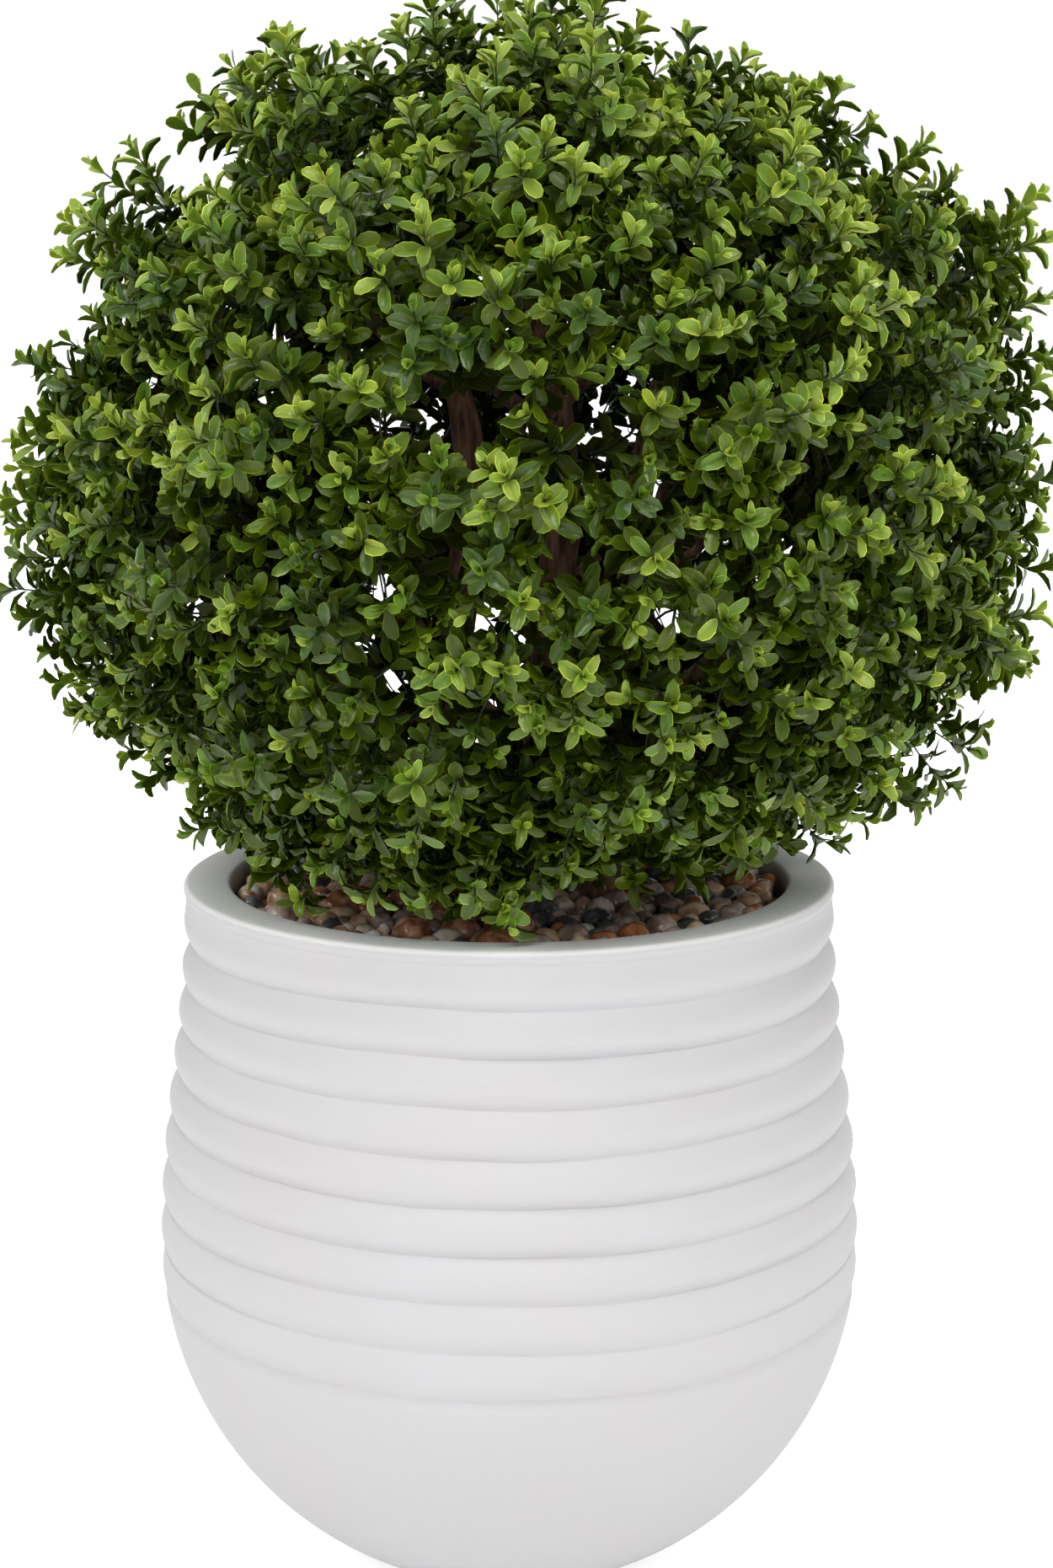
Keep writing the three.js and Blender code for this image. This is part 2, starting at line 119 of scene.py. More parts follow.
def planter_outline():
    """The pot's section from the middle of its foot, up outside and down inside to its floor."""
    foot = body_radius(0)
    points = [(foot * share, 0) for share in FOOT_ROWS]
    points += quarter_round((foot - FOOT_ROUND, FOOT_ROUND), FOOT_ROUND, -90, 60)
    bowl = np.linspace(FOOT_ROUND, RIBS_FOOT, BOWL_ROWS, endpoint=False)[1:]
    points += [(body_radius(z), z) for z in bowl]
    for rib in range(RIB_COUNT):
        heights = [RIBS_FOOT + (rib + row) * RIB_PITCH for row in RIB_ROWS]
        points += [(body_radius(z), z) for z in heights]
    points += [(LIP_RADIUS - LIP_CUT, RIBS_TOP)]
    points += [(LIP_RADIUS - LIP_CUT / 2, RIBS_TOP + LIP_CUT_HEIGHT)]
    points += quarter_round((LIP_RADIUS - LIP_ROUND, POT_HEIGHT - LIP_ROUND), LIP_ROUND, -20, 110)
    points += [(LIP_RADIUS - LIP_SLOPE, POT_HEIGHT - LIP_FALLS[0])]
    points += [(MOUTH_RADIUS + LIP_SLOPE, POT_HEIGHT - LIP_FALLS[1])]
    mouth_round = (MOUTH_RADIUS + LIP_ROUND, POT_HEIGHT - LIP_ROUND - LIP_FALLS[2])
    points += quarter_round(mouth_round, LIP_ROUND, 90, 90)
    points += [(MOUTH_RADIUS, POT_HEIGHT - MOUTH_DEPTH)]
    points += [(body_radius(z) - WALL, z) for z in INSIDE_HEIGHTS]
    points += [(body_radius(FLOOR_THICKNESS) - FLOOR_EDGE, FLOOR_THICKNESS)]
    points += [(FLOOR_MIDDLE, FLOOR_THICKNESS)]
    return points


def rib_share(radius, z):
    """How much of a rib's depth a point of the outline takes: none off the outside of the ribs,
    and less and less up the last rib, under the lip."""
    outside = body_radius(z) - radius < WALL / 2 and RIBS_FOOT - NEAR < z < RIBS_TOP - NEAR
    return outside * min(1.0, (RIBS_TOP - z) / RIB_PITCH + LIP_RIB_SHARE)


def turned_mesh(name, outline, sides):
    """A closed mesh turned about the upright axis from an outline that starts and ends on it."""
    angles = np.linspace(0, 2 * np.pi, sides, endpoint=False)
    radius, height = np.array(outline).T
    x = radius[:, None] * np.cos(angles)
    y = radius[:, None] * np.sin(angles)
    z = np.repeat(height[:, None], sides, axis=1)
    rows = np.stack([x, y, z], axis=2).reshape(-1, 3)
    poles = [(0, 0, height[0]), (0, 0, height[-1])]
    first, last = len(rows), len(rows) + 1
    end = (len(outline) - 1) * sides
    faces = []
    for i in range(sides):
        j = (i + 1) % sides
        faces += [(first, j, i), (end + i, end + j, last)]
        faces += [(r + i, r + j, r + sides + j, r + sides + i) for r in range(0, end, sides)]
    mesh = bpy.data.meshes.new(name)
    mesh.from_pydata(rows.tolist() + poles, [], faces)
    mesh.shade_smooth()
    return mesh


def new_piece(name, mesh):
    piece = bpy.data.objects.new(name, mesh)
    bpy.context.scene.collection.objects.link(piece)
    return piece


def linear(code):
    """An sRGB hex colour as the linear colour that a shader takes."""
    parts = [int(code[i : i + 2], 16) / 255 for i in (1, 3, 5)]
    return tuple(c / 12.92 if c < 0.04045 else ((c + 0.055) / 1.055) ** 2.4 for c in parts) + (1.0,)


def add_node(tree, kind, settings=None, *values, **links):
    """Adds a node with its settings, or with one word as its operation, and fills its sockets.
    Values fill them in order, and links by name with underscores, or by number after an n. Each
    is a socket, a node whose first output is meant, or what the socket itself is set to."""
    node = tree.nodes.new(kind)
    if isinstance(settings, str):
        settings = {"operation": settings}
    for key, value in (settings or {}).items():
        setattr(node, key, value)
    for key, value in [(f"n{i}", value) for i, value in enumerate(values)] + list(links.items()):
        by_number = key[0] == "n" and key[1:].isdigit()
        socket = node.inputs[int(key[1:]) if by_number else key.replace("_", " ")]
        if isinstance(value, bpy.types.Node):
            value = value.outputs[0]
        if isinstance(value, bpy.types.NodeSocket):
            tree.links.new(value, socket)
        else:
            socket.default_value = value
    return node


def new_material(name):
    """An empty material and its tree."""
    material = bpy.data.materials.new(name)
    material.use_nodes = True
    material.node_tree.nodes.clear()
    return material, material.node_tree


def grain(tree, size, detail, stretch):
    """A soft noise fixed to the piece, from 0 to 1, about one size in metres across."""
    place = add_node(tree, "ShaderNodeTexCoord").outputs["Object"]
    drawn = add_node(tree, "ShaderNodeMapping", Vector=place, Scale=stretch)
    return add_node(tree, "ShaderNodeTexNoise", Vector=drawn, Scale=1 / size, Detail=detail)


def mottle(tree, size, colours, detail=3.0, spread=(0.35, 0.65), stretch=(1, 1, 1)):
    """A soft cloud of colours, patches of which are about one size in metres across."""
    ramp = add_node(tree, "ShaderNodeValToRGB", Fac=grain(tree, size, detail, stretch))
    ends = ramp.color_ramp.elements
    ends[0].position, ends[1].position = spread
    ends[0].color, ends[1].color = linear(colours[0]), linear(colours[-1])
    for i, colour in enumerate(colours[1:-1], 1):
        share = i / (len(colours) - 1)
        ends.new(spread[0] + (spread[1] - spread[0]) * share).color = linear(colour)
    return ramp


def relief(tree, size, depth, detail=2.0, stretch=(1, 1, 1)):
    """A bump of a grain about one size across and one depth deep, both in metres."""
    height = grain(tree, size, detail, stretch)
    return add_node(tree, "ShaderNodeBump", Strength=1.0, Distance=depth, Height=height)


def washed_fibre_clay():
    """Fibre clay under a matt lime wash: the eye gets a chalky white, a shade uneven, no gloss,
    and painted light on the lip: its top is mixed to a near white against the ball's shade."""
    material, tree = new_material("washed_fibre_clay")
    place = add_node(tree, "ShaderNodeTexCoord").outputs["Object"]
    height = add_node(tree, "ShaderNodeSeparateXYZ", Vector=place).outputs["Z"]
    # Painted light: towards the top of the lip the wash is mixed to a near white, against the shade
    # that the ball casts there.
    lip = add_node(
        tree, "ShaderNodeMapRange", {"interpolation_type": "SMOOTHSTEP"},
        Value=height, From_Min=POT_HEIGHT - LIP_ROUND, From_Max=POT_HEIGHT - LIP_LIGHT_INSET,
    )
    wash = mottle(tree, WASH_PATCH, [WASH_COOL, WASH_WARM], 2.0)
    white = add_node(
        tree, "ShaderNodeMix", {"data_type": "RGBA"}, n0=lip, n6=wash, n7=linear(LIP_PAINTED_LIGHT)
    ).outputs[2]
    shader = add_node(
        tree, "ShaderNodeBsdfPrincipled", Base_Color=white, Roughness=0.55, IOR=1.5,
        Normal=relief(tree, CLAY_GRAIN, CLAY_RELIEF),
    )
    add_node(tree, "ShaderNodeOutputMaterial", Surface=shader)
    return material


def new_rule(name, **sockets):
    """A Geometry Nodes tree with named inputs, its input node and its output node."""
    tree = bpy.data.node_groups.new(name, "GeometryNodeTree")
    tree.interface.new_socket("Geometry", in_out="INPUT", socket_type="NodeSocketGeometry")
    for key, kind in sockets.items():
        label = key.replace("_", " ")
        tree.interface.new_socket(label, in_out="INPUT", socket_type=f"NodeSocket{kind}")
    tree.interface.new_socket("Geometry", in_out="OUTPUT", socket_type="NodeSocketGeometry")
    return tree, tree.nodes.new("NodeGroupInput").outputs, tree.nodes.new("NodeGroupOutput").inputs


def finish_rule(tree, geometry, material, out):
    """Ends a tree in plain faces that carry a material."""
    plain = add_node(tree, "GeometryNodeRealizeInstances", Geometry=geometry)
    painted = add_node(tree, "GeometryNodeSetMaterial", Geometry=plain, Material=material)
    tree.links.new(painted.outputs[0], out[0])


def grown(piece, tree, **values):
    """Runs a tree on a piece, and gives the piece the plain mesh that comes out of it."""
    modifier = piece.modifiers.new("rule", "NODES")
    modifier.node_group = tree
    sockets = {s.name: s.identifier for s in tree.interface.items_tree if s.in_out == "INPUT"}
    for key, value in values.items():
        modifier[sockets[key.replace("_", " ")]] = value
    evaluated = piece.evaluated_get(bpy.context.evaluated_depsgraph_get())
    mesh = bpy.data.meshes.new_from_object(evaluated)
    piece.modifiers.remove(modifier)
    rough = piece.data
    piece.data = mesh
    bpy.data.meshes.remove(rough)
    mesh.name = piece.name
    return piece


def rib_rule():
    """Presses ribs into a smooth pot: each is a convex band between two creases, and the creases
    wander up and down round the pot. A vertex counts as far as its attribute "ribbed" says."""
    tree, given, out = new_rule(
        "pressed_ribs", Foot="Float", Pitch="Float", Depth="Float", Wave="Float", Seed="Float",
        Material="Material",
    )
    place = add_node(tree, "GeometryNodeInputPosition")
    part = add_node(tree, "ShaderNodeSeparateXYZ", Vector=place).outputs
    flat = add_node(tree, "ShaderNodeCombineXYZ", X=part["X"], Y=part["Y"])
    outward = add_node(tree, "ShaderNodeVectorMath", "NORMALIZE", flat)
    above = add_node(tree, "ShaderNodeMath", "SUBTRACT", part["Z"], given["Foot"])
    height = add_node(tree, "ShaderNodeMath", "DIVIDE", above, given["Pitch"])
    across = add_node(tree, "ShaderNodeMath", "FRACT", height)
    low_peak = add_node(tree, "ShaderNodeMath", "POWER", across, RIB_PEAK)
    half_turn = add_node(tree, "ShaderNodeMath", "MULTIPLY", low_peak, math.pi)
    crest = add_node(tree, "ShaderNodeMath", "SINE", half_turn)
    rib = add_node(tree, "ShaderNodeMath", "FLOOR", height)
    growing = add_node(
        tree, "ShaderNodeMath", "MULTIPLY_ADD", rib, RIB_SHARE_GAIN, LOWEST_RIB_SHARE
    )
    strong = add_node(tree, "ShaderNodeMath", "MINIMUM", 1.0, growing)
    ribbed = add_node(
        tree, "GeometryNodeInputNamedAttribute", {"data_type": "FLOAT"}, Name="ribbed"
    ).outputs["Attribute"]

    def wander(scale, drift):
        """A slow wander between -1 and 1 round the pot."""
        raised = add_node(tree, "ShaderNodeMath", "MULTIPLY", height, drift)
        upward = add_node(tree, "ShaderNodeCombineXYZ", Z=raised)
        around = add_node(tree, "ShaderNodeVectorMath", "ADD", outward, upward)
        noise = add_node(
            tree, "ShaderNodeTexNoise", {"noise_dimensions": "4D"},
            Vector=around, W=given["Seed"], Scale=scale, Detail=1.0,
        )
        return add_node(tree, "ShaderNodeMath", "MULTIPLY_ADD", noise, 2.0, -1.0)

    uneven = add_node(
        tree, "ShaderNodeMath", "MULTIPLY_ADD", wander(*DEPTH_WANDER), DEPTH_SWING, DEPTH_MEAN
    )
    depth = add_node(tree, "ShaderNodeMath", "MULTIPLY", given["Depth"], uneven)
    deepest = add_node(tree, "ShaderNodeMath", "MULTIPLY", depth, strong)
    below = add_node(tree, "ShaderNodeMath", "SUBTRACT", crest, 1.0)
    inset = add_node(tree, "ShaderNodeMath", "MULTIPLY", below, deepest)
    inset_here = add_node(tree, "ShaderNodeMath", "MULTIPLY", inset, ribbed)
    pressed = add_node(tree, "ShaderNodeVectorMath", "SCALE", outward, Scale=inset_here)
    long_wave = wander(*LONG_WANDER)
    short_wave = add_node(tree, "ShaderNodeMath", "MULTIPLY", wander(*SHORT_WANDER), SHORT_SHARE)
    wavy = add_node(tree, "ShaderNodeMath", "ADD", long_wave, short_wave)
    rise = add_node(tree, "ShaderNodeMath", "MULTIPLY", wavy, given["Wave"])
    rise_here = add_node(tree, "ShaderNodeMath", "MULTIPLY", rise, ribbed)
    lifted = add_node(tree, "ShaderNodeCombineXYZ", Z=rise_here)
    moved = add_node(tree, "ShaderNodeVectorMath", "ADD", pressed, lifted)
    shaped = add_node(tree, "GeometryNodeSetPosition", Geometry=given["Geometry"], Offset=moved)
    finish_rule(tree, shaped, given["Material"], out)
    return tree


outline = planter_outline()
planter = new_piece("planter_shell", turned_mesh("planter_shell", outline, POT_SIDES))
shares = [rib_share(radius, z) for radius, z in outline]
ribbed = np.repeat(shares, POT_SIDES).tolist() + [0.0, 0.0]
planter.data.attributes.new("ribbed", "FLOAT", "POINT").data.foreach_set("value", ribbed)
grown(
    planter, rib_rule(), Foot=RIBS_FOOT, Pitch=RIB_PITCH, Depth=RIB_DEPTH, Wave=RIB_WAVE,
    Seed=RIB_SEED, Material=washed_fibre_clay(),
)
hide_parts("planter")
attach(planter, "root")


# Filling
# A plug of mortar poured into the pot, which weighs it down and holds the trunks. Only its dark
# top shows, between the pebbles.
MORTAR_DARK = "#2A241E"
MORTAR_PALE = "#3E362D"
SAND_PATCH = 0.006
SAND_GRAIN = 0.002
SAND_RELIEF = 0.0006


def poured_mortar():
    """Stained mortar: rough and dark brown, with sandy patches."""
    material, tree = new_material("poured_mortar")
    shader = add_node(
        tree, "ShaderNodeBsdfPrincipled",
        Base_Color=mottle(tree, SAND_PATCH, [MORTAR_DARK, MORTAR_PALE], 5.0),
        Roughness=0.95, Normal=relief(tree, SAND_GRAIN, SAND_RELIEF),
    )
    add_node(tree, "ShaderNodeOutputMaterial", Surface=shader)
    return material


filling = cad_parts["filling"]
filling.data.materials.clear()
filling.data.materials.append(poured_mortar())


# Trunks
# Three lengths of real wood, each with the flare of its root, sawn flat and set in the filling.
# They lean apart as they rise into the ball, and keep their reddish bark with its ridges.
TRUNK_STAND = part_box("trunk_middle")[0].z
TRUNK_SUNK = 0.012
# The places and radii of a trunk are in millimetres, from its foot up.
TRUNKS = {
    "left": {
        "at": (-34, -8), "foot": 15, "tip": 8.5,
        "bends": [(-33, -6, 530), (-40, -10, 615), (-30, -14, 690), (-26, -11, 760), (-38, -4, 838)],
    },
    "middle": {
        "at": (16, 20), "foot": 17, "tip": 9,
        "bends": [(19, 22, 540), (26, 16, 640), (37, 6, 730), (33, 2, 800), (22, 4, 872)],
    },
    "right": {
        "at": (62, -20), "foot": 14, "tip": 8,
        "bends": [(63, -20, 530), (67, -22, 610), (75, -24, 690), (92, -18, 770), (104, -10, 818)],
    },
}
MILLIMETRE = 0.001
FLARE = 0.6
FLARE_HEIGHT = 0.045
TRUNK_SIDES = 28
TRUNK_RINGS = 130
BARK_RIDGE = 0.0075
BARK_DEPTH = 0.0024
BARK_STRETCH = 0.16
KNOT_SHARE = 0.22
RIDGE_GAIN = 1.6
KNOT_GAIN = 1.5
BARK_LEVEL = 0.4
BARK_PATCH = 0.006
BARK_GRAIN = 0.0022
BARK_RELIEF = 0.0009
BARK_DARK = "#3A281C"
BARK_MIDDLE = "#73543E"
BARK_PALE = "#99785E"


def smooth_curve(bends, count, fine_steps=60):
    """Evenly spaced points on a centripetal spline through some bends."""
    bends = np.array(bends, float)
    bends = np.vstack([2 * bends[0] - bends[1], bends, 2 * bends[-1] - bends[-2]])
    fine = []
    for a, b, c, d in zip(bends, bends[1:], bends[2:], bends[3:]):
        steps = [np.linalg.norm(q - p) ** 0.5 for p, q in ((a, b), (b, c), (c, d))]
        t0, t1, t2, t3 = np.cumsum([0.0] + steps)
        t = np.linspace(t1, t2, fine_steps, endpoint=False)[:, None]
        ab = ((t1 - t) * a + (t - t0) * b) / (t1 - t0)
        bc = ((t2 - t) * b + (t - t1) * c) / (t2 - t1)
        cd = ((t3 - t) * c + (t - t2) * d) / (t3 - t2)
        abc = ((t2 - t) * ab + (t - t0) * bc) / (t2 - t0)
        bcd = ((t3 - t) * bc + (t - t1) * cd) / (t3 - t1)
        fine += list(((t2 - t) * abc + (t - t1) * bcd) / (t2 - t1))
    fine = np.array(fine + [bends[-2]])
    run = np.concatenate([[0], np.cumsum(np.linalg.norm(np.diff(fine, axis=0), axis=1))])
    even = np.linspace(0, run[-1], count)
    return np.stack([np.interp(even, run, fine[:, k]) for k in range(3)], axis=1)


def length_of(path):
    return np.linalg.norm(np.diff(path, axis=0), axis=1).sum()


def wires_mesh(name, paths, girths):
    """A mesh of bare lines, with a radius at each point, for the limb rule to thicken."""
    counts = [len(path) for path in paths]
    starts = np.concatenate([[0], np.cumsum(counts)])
    edges = [(i, i + 1) for s, c in zip(starts, counts) for i in range(s, s + c - 1)]
    mesh = bpy.data.meshes.new(name)
    mesh.from_pydata(np.concatenate(paths).tolist(), edges, [])
    girth = mesh.attributes.new("girth", "FLOAT", "POINT")
    girth.data.foreach_set("value", np.concatenate(girths).tolist())
    return mesh


def limb_rule():
    """Thickens lines to round limbs of their own girth, and raises bark on them: ridges that run
    with the grain, and knots."""
    tree, given, out = new_rule(
        "barked_limbs", Sides="Int", Ridge="Float", Depth="Float", Material="Material"
    )
    girth = add_node(
        tree, "GeometryNodeInputNamedAttribute", {"data_type": "FLOAT"}, Name="girth"
    ).outputs["Attribute"]
    lines = add_node(tree, "GeometryNodeMeshToCurve", Mesh=given["Geometry"])
    sized = add_node(tree, "GeometryNodeSetCurveRadius", Curve=lines, Radius=girth)
    ring = add_node(
        tree, "GeometryNodeCurvePrimitiveCircle", Resolution=given["Sides"], Radius=1.0
    )
    tube = add_node(
        tree, "GeometryNodeCurveToMesh", Curve=sized, Profile_Curve=ring,
        Scale=add_node(tree, "GeometryNodeInputRadius"), Fill_Caps=True,
    )
    place = add_node(tree, "GeometryNodeInputPosition")
    drawn = add_node(tree, "ShaderNodeVectorMath", "MULTIPLY", place, (1.0, 1.0, BARK_STRETCH))
    fine = add_node(tree, "ShaderNodeMath", "DIVIDE", 1.0, given["Ridge"])
    ridges = add_node(
        tree, "ShaderNodeTexNoise", Vector=drawn, Scale=fine, Detail=3.0, Roughness=0.6
    )
    coarse = add_node(tree, "ShaderNodeMath", "MULTIPLY", fine, KNOT_SHARE)
    knots = add_node(tree, "ShaderNodeTexNoise", Vector=place, Scale=coarse, Detail=1.0)
    centred = add_node(tree, "ShaderNodeMath", "MULTIPLY_ADD", ridges, 2.0, -1.0)
    sharp = add_node(tree, "ShaderNodeMath", "ABSOLUTE", centred)
    ridged = add_node(tree, "ShaderNodeMath", "MULTIPLY", sharp, -RIDGE_GAIN)
    knotted = add_node(tree, "ShaderNodeMath", "MULTIPLY", knots, KNOT_GAIN)
    rise = add_node(tree, "ShaderNodeMath", "ADD", ridged, knotted)
    level = add_node(tree, "ShaderNodeMath", "SUBTRACT", rise, BARK_LEVEL)
    height = add_node(tree, "ShaderNodeMath", "MULTIPLY", level, given["Depth"])
    normal = add_node(tree, "GeometryNodeInputNormal")
    raised = add_node(tree, "ShaderNodeVectorMath", "SCALE", normal, Scale=height)
    barked = add_node(tree, "GeometryNodeSetPosition", Geometry=tube, Offset=raised)
    smooth = add_node(tree, "GeometryNodeSetShadeSmooth", Geometry=barked)
    finish_rule(tree, smooth, given["Material"], out)
    return tree


def dried_bark():
    """The bark of a dried trunk: fibrous and dull, red-brown, mottled darker and paler in upright
    streaks.
    """
    material, tree = new_material("dried_bark")
    colours = [BARK_DARK, BARK_MIDDLE, BARK_PALE]
    shader = add_node(
        tree, "ShaderNodeBsdfPrincipled",
        Base_Color=mottle(tree, BARK_PATCH, colours, 6.0, (0.34, 0.68), (1, 1, 0.2)),
        Roughness=0.86, Normal=relief(tree, BARK_GRAIN, BARK_RELIEF, 4.0, (1, 1, 0.15)),
    )
    add_node(tree, "ShaderNodeOutputMaterial", Surface=shader)
    return material


bark = dried_bark()
barked_limbs = limb_rule()
for name, trunk in TRUNKS.items():
    stand = [(*trunk["at"], (TRUNK_STAND - TRUNK_SUNK) / MILLIMETRE)]
    trunk["path"] = smooth_curve(stand + trunk["bends"], TRUNK_RINGS) * MILLIMETRE
    share = np.linspace(0, 1, TRUNK_RINGS)
    swell = 1 + FLARE * np.exp(-share * length_of(trunk["path"]) / FLARE_HEIGHT)
    radius = (trunk["foot"] + (trunk["tip"] - trunk["foot"]) * share) * MILLIMETRE * swell
    standing = trunk["path"][:, 2] > TRUNK_STAND
    trunk["path"][~standing, 2] = TRUNK_STAND
    keep = np.flatnonzero(standing)[0] - 1
    wires = wires_mesh(f"bark_{name}", [trunk["path"][keep:]], [radius[keep:]])
    piece = new_piece(f"bark_{name}", wires)
    grown(piece, barked_limbs, Sides=TRUNK_SIDES, Ridge=BARK_RIDGE, Depth=BARK_DEPTH, Material=bark)
    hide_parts(f"trunk_{name}")
    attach(piece, "root")


# Pebbles
# Two layers of tumbled river stones of mixed colours, loose on the filling and a little glossy,
# the larger ones on top, with their tops just below the rim.
BED_RADIUS = 0.1905
STONE_SEED = 41
STONE_LAYERS = [
    {"height": 0.4560, "tries": {0.0095: 1400, 0.0075: 1400}},
    {
        "height": 0.4665,
        "tries": {0.0150: 8, 0.0125: 24, 0.0100: 110, 0.0078: 700, 0.0066: 1800, 0.0054: 2600},
    },
]
STONE_JITTER = (0.88, 1.12)
STONE_APART = 0.88
STONE_LIFT = 0.0025
FLATTEST_STONE = (0.98, 0.84, 0.74)
FULLEST_STONE = (1.2, 1.02, 1.0)
STONE_LUMP = 0.012
STONE_LUMP_DEPTH = 0.006
STONE_VEIN = 0.011
STONE_GRAIN = 0.0016
STONE_RELIEF = 0.0002
COBBLE = 0.0125
STONE_KINDS = {
    "tan": {"share": 0.28, "colours": ["#B6886A", "#EEBF9C", "#FAE7C6"]},
    "rust": {"share": 0.15, "colours": ["#985A39", "#CA8256", "#EEAC84"]},
    "grey": {"share": 0.25, "colours": ["#867266", "#BDA599", "#E7CFC3"]},
    "slate": {"share": 0.20, "colours": ["#424649", "#656767", "#93928F"]},
    "cream": {"share": 0.12, "colours": ["#CEB49A", "#FAE9D1", "#FAFAF9"]},
    "cobble": {"share": 0.0, "colours": ["#7B4F34", "#B67755", "#EBBA98"]},
}


def scattered_stones(draw):
    """Places for stones, thrown largest first and kept where they clear the rest."""
    stones = []
    for layer in STONE_LAYERS:
        lying = np.empty((0, 3))
        for size, tries in layer["tries"].items():
            for _ in range(tries):
                radius = size * draw.uniform(*STONE_JITTER)
                away = (BED_RADIUS - radius) * math.sqrt(draw.uniform())
                angle = draw.uniform(0, 2 * math.pi)
                x, y = away * math.cos(angle), away * math.sin(angle)
                apart = np.hypot(lying[:, 0] - x, lying[:, 1] - y)
                if (apart > (lying[:, 2] + radius) * STONE_APART).all():
                    lying = np.vstack([lying, (x, y, radius)])
                    stones.append((x, y, layer["height"] + draw.uniform(0, STONE_LIFT), radius))
    return np.array(stones)


def points_mesh(name, places, turns, sizes):
    """A mesh of points that say where a shape goes, how it is turned and how large it is."""
    mesh = bpy.data.meshes.new(name)
    mesh.vertices.add(len(places))
    mesh.vertices.foreach_set("co", np.ravel(places))
    mesh.attributes.new("turn", "QUATERNION", "POINT").data.foreach_set("value", np.ravel(turns))
    mesh.attributes.new("size", "FLOAT_VECTOR", "POINT").data.foreach_set("vector", np.ravel(sizes))
    return mesh


def strewn_rule():
    """Puts one shape on each point, turned and sized as the point says, and gives each a lumpy
    surface of its own."""
    tree, given, out = new_rule(
        "strewn_shapes", Shape="Object", Lump_size="Float", Lump_depth="Float", Material="Material"
    )
    shape = add_node(tree, "GeometryNodeObjectInfo", Object=given["Shape"]).outputs["Geometry"]
    turn = add_node(
        tree, "GeometryNodeInputNamedAttribute", {"data_type": "QUATERNION"}, Name="turn"
    ).outputs["Attribute"]
    size = add_node(
        tree, "GeometryNodeInputNamedAttribute", {"data_type": "FLOAT_VECTOR"}, Name="size"
    ).outputs["Attribute"]
    placed = add_node(
        tree, "GeometryNodeInstanceOnPoints",
        Points=given["Geometry"], Instance=shape, Rotation=turn, Scale=size,
    )
    plain = add_node(tree, "GeometryNodeRealizeInstances", Geometry=placed)
    fine = add_node(tree, "ShaderNodeMath", "DIVIDE", 1.0, given["Lump size"])
    lumps = add_node(tree, "ShaderNodeTexNoise", Scale=fine, Detail=1.0).outputs["Color"]
    centred = add_node(tree, "ShaderNodeVectorMath", "SUBTRACT", lumps, (0.5, 0.5, 0.5))
    offset = add_node(tree, "ShaderNodeVectorMath", "SCALE", centred, Scale=given["Lump depth"])
    lumpy = add_node(tree, "GeometryNodeSetPosition", Geometry=plain, Offset=offset)
    finish_rule(tree, lumpy, given["Material"], out)
    return tree


def turned_about(axis, angle):
    """Quaternions, w first, that turn about unit axes by angles in radians."""
    axis = np.atleast_2d(axis)
    half = np.broadcast_to(np.asarray(angle, float) / 2, len(axis))[:, None]
    return np.hstack([np.cos(half), np.sin(half) * axis])


def river_stone(name, colours):
    """A tumbled river stone, waxed: hard and smooth, with veins and a soft gloss."""
    material, tree = new_material(f"river_stone_{name}")
    shader = add_node(
        tree, "ShaderNodeBsdfPrincipled",
        Base_Color=mottle(tree, STONE_VEIN, colours, 7.0, (0.36, 0.66)),
        Roughness=0.14, IOR=1.65, Normal=relief(tree, STONE_GRAIN, STONE_RELIEF),
    )
    add_node(tree, "ShaderNodeOutputMaterial", Surface=shader)
    return material


def tumbled_shape(cuts):
    """A round stone of few faces, which each copy flattens and turns in its own way."""
    bpy.ops.mesh.primitive_ico_sphere_add(subdivisions=cuts, radius=1.0)
    shape = bpy.context.object
    shape.data.shade_smooth()
    return shape


draw = np.random.default_rng(STONE_SEED)
stones = scattered_stones(draw)
kinds = draw.choice(len(STONE_KINDS), len(stones), p=[k["share"] for k in STONE_KINDS.values()])
kinds[stones[:, 3] > COBBLE] = len(STONE_KINDS) - 1
strewn_shapes = strewn_rule()
for i, (name, kind) in enumerate(STONE_KINDS.items()):
    mine = stones[kinds == i]
    count = len(mine)
    lying = turned_about(np.tile([0, 0, 1.0], (count, 1)), draw.uniform(0, 6.28, count))
    sizes = mine[:, 3:] * draw.uniform(FLATTEST_STONE, FULLEST_STONE, (count, 3))
    shape = tumbled_shape(3 if name == "cobble" else 2)
    piece = new_piece(f"pebbles_{name}", points_mesh(f"pebbles_{name}", mine[:, :3], lying, sizes))
    grown(
        piece, strewn_shapes, Shape=shape, Lump_size=STONE_LUMP, Lump_depth=STONE_LUMP_DEPTH,
        Material=river_stone(name, kind["colours"]),
    )
    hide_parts("pebbles")
    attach(piece, "root")
    bpy.data.objects.remove(shape)


# Boughs
# The ball is dealt out to seventeen masses of foliage, one on top and three rings of them. Each
# is borne by one bough of real wood, let into its trunk, which sags a little on its way out.
BALL_CENTRE = np.array([0.012, 0.0, 0.750])
BALL_REACH = 0.352
BALL_TOP_REACH = 0.323
SKIRT_HEIGHT = 0.486
RINGS = [
    {"name": "top", "elevation": 88, "start": -90, "bearers": ["middle"]},
    {
        "name": "upper", "elevation": 46, "start": -90,
        "bearers": ["middle", "right", "middle", "middle", "left"],
    },
    {
        "name": "middle", "elevation": 5, "start": -60,
        "bearers": ["right", "right", "middle", "middle", "left", "left"],
    },
    {
        "name": "lower", "elevation": -36, "start": -90,
        "bearers": ["middle", "right", "middle", "middle", "left"],
    },
]
BOUGH_FOOT = 0.0062
BOUGH_TIP = 0.0036
STEM_TIP = 0.7 * BOUGH_TIP
BOUGH_REACH = 0.5
BOUGH_RISE = 0.55
BOUGH_SAG = 0.1
BOUGH_KNEE = 0.45
LOWEST_FORK = 0.3
HIGHEST_FORK = 0.95
FORK_STEP = 0.01
BOUGH_SIDES = 12
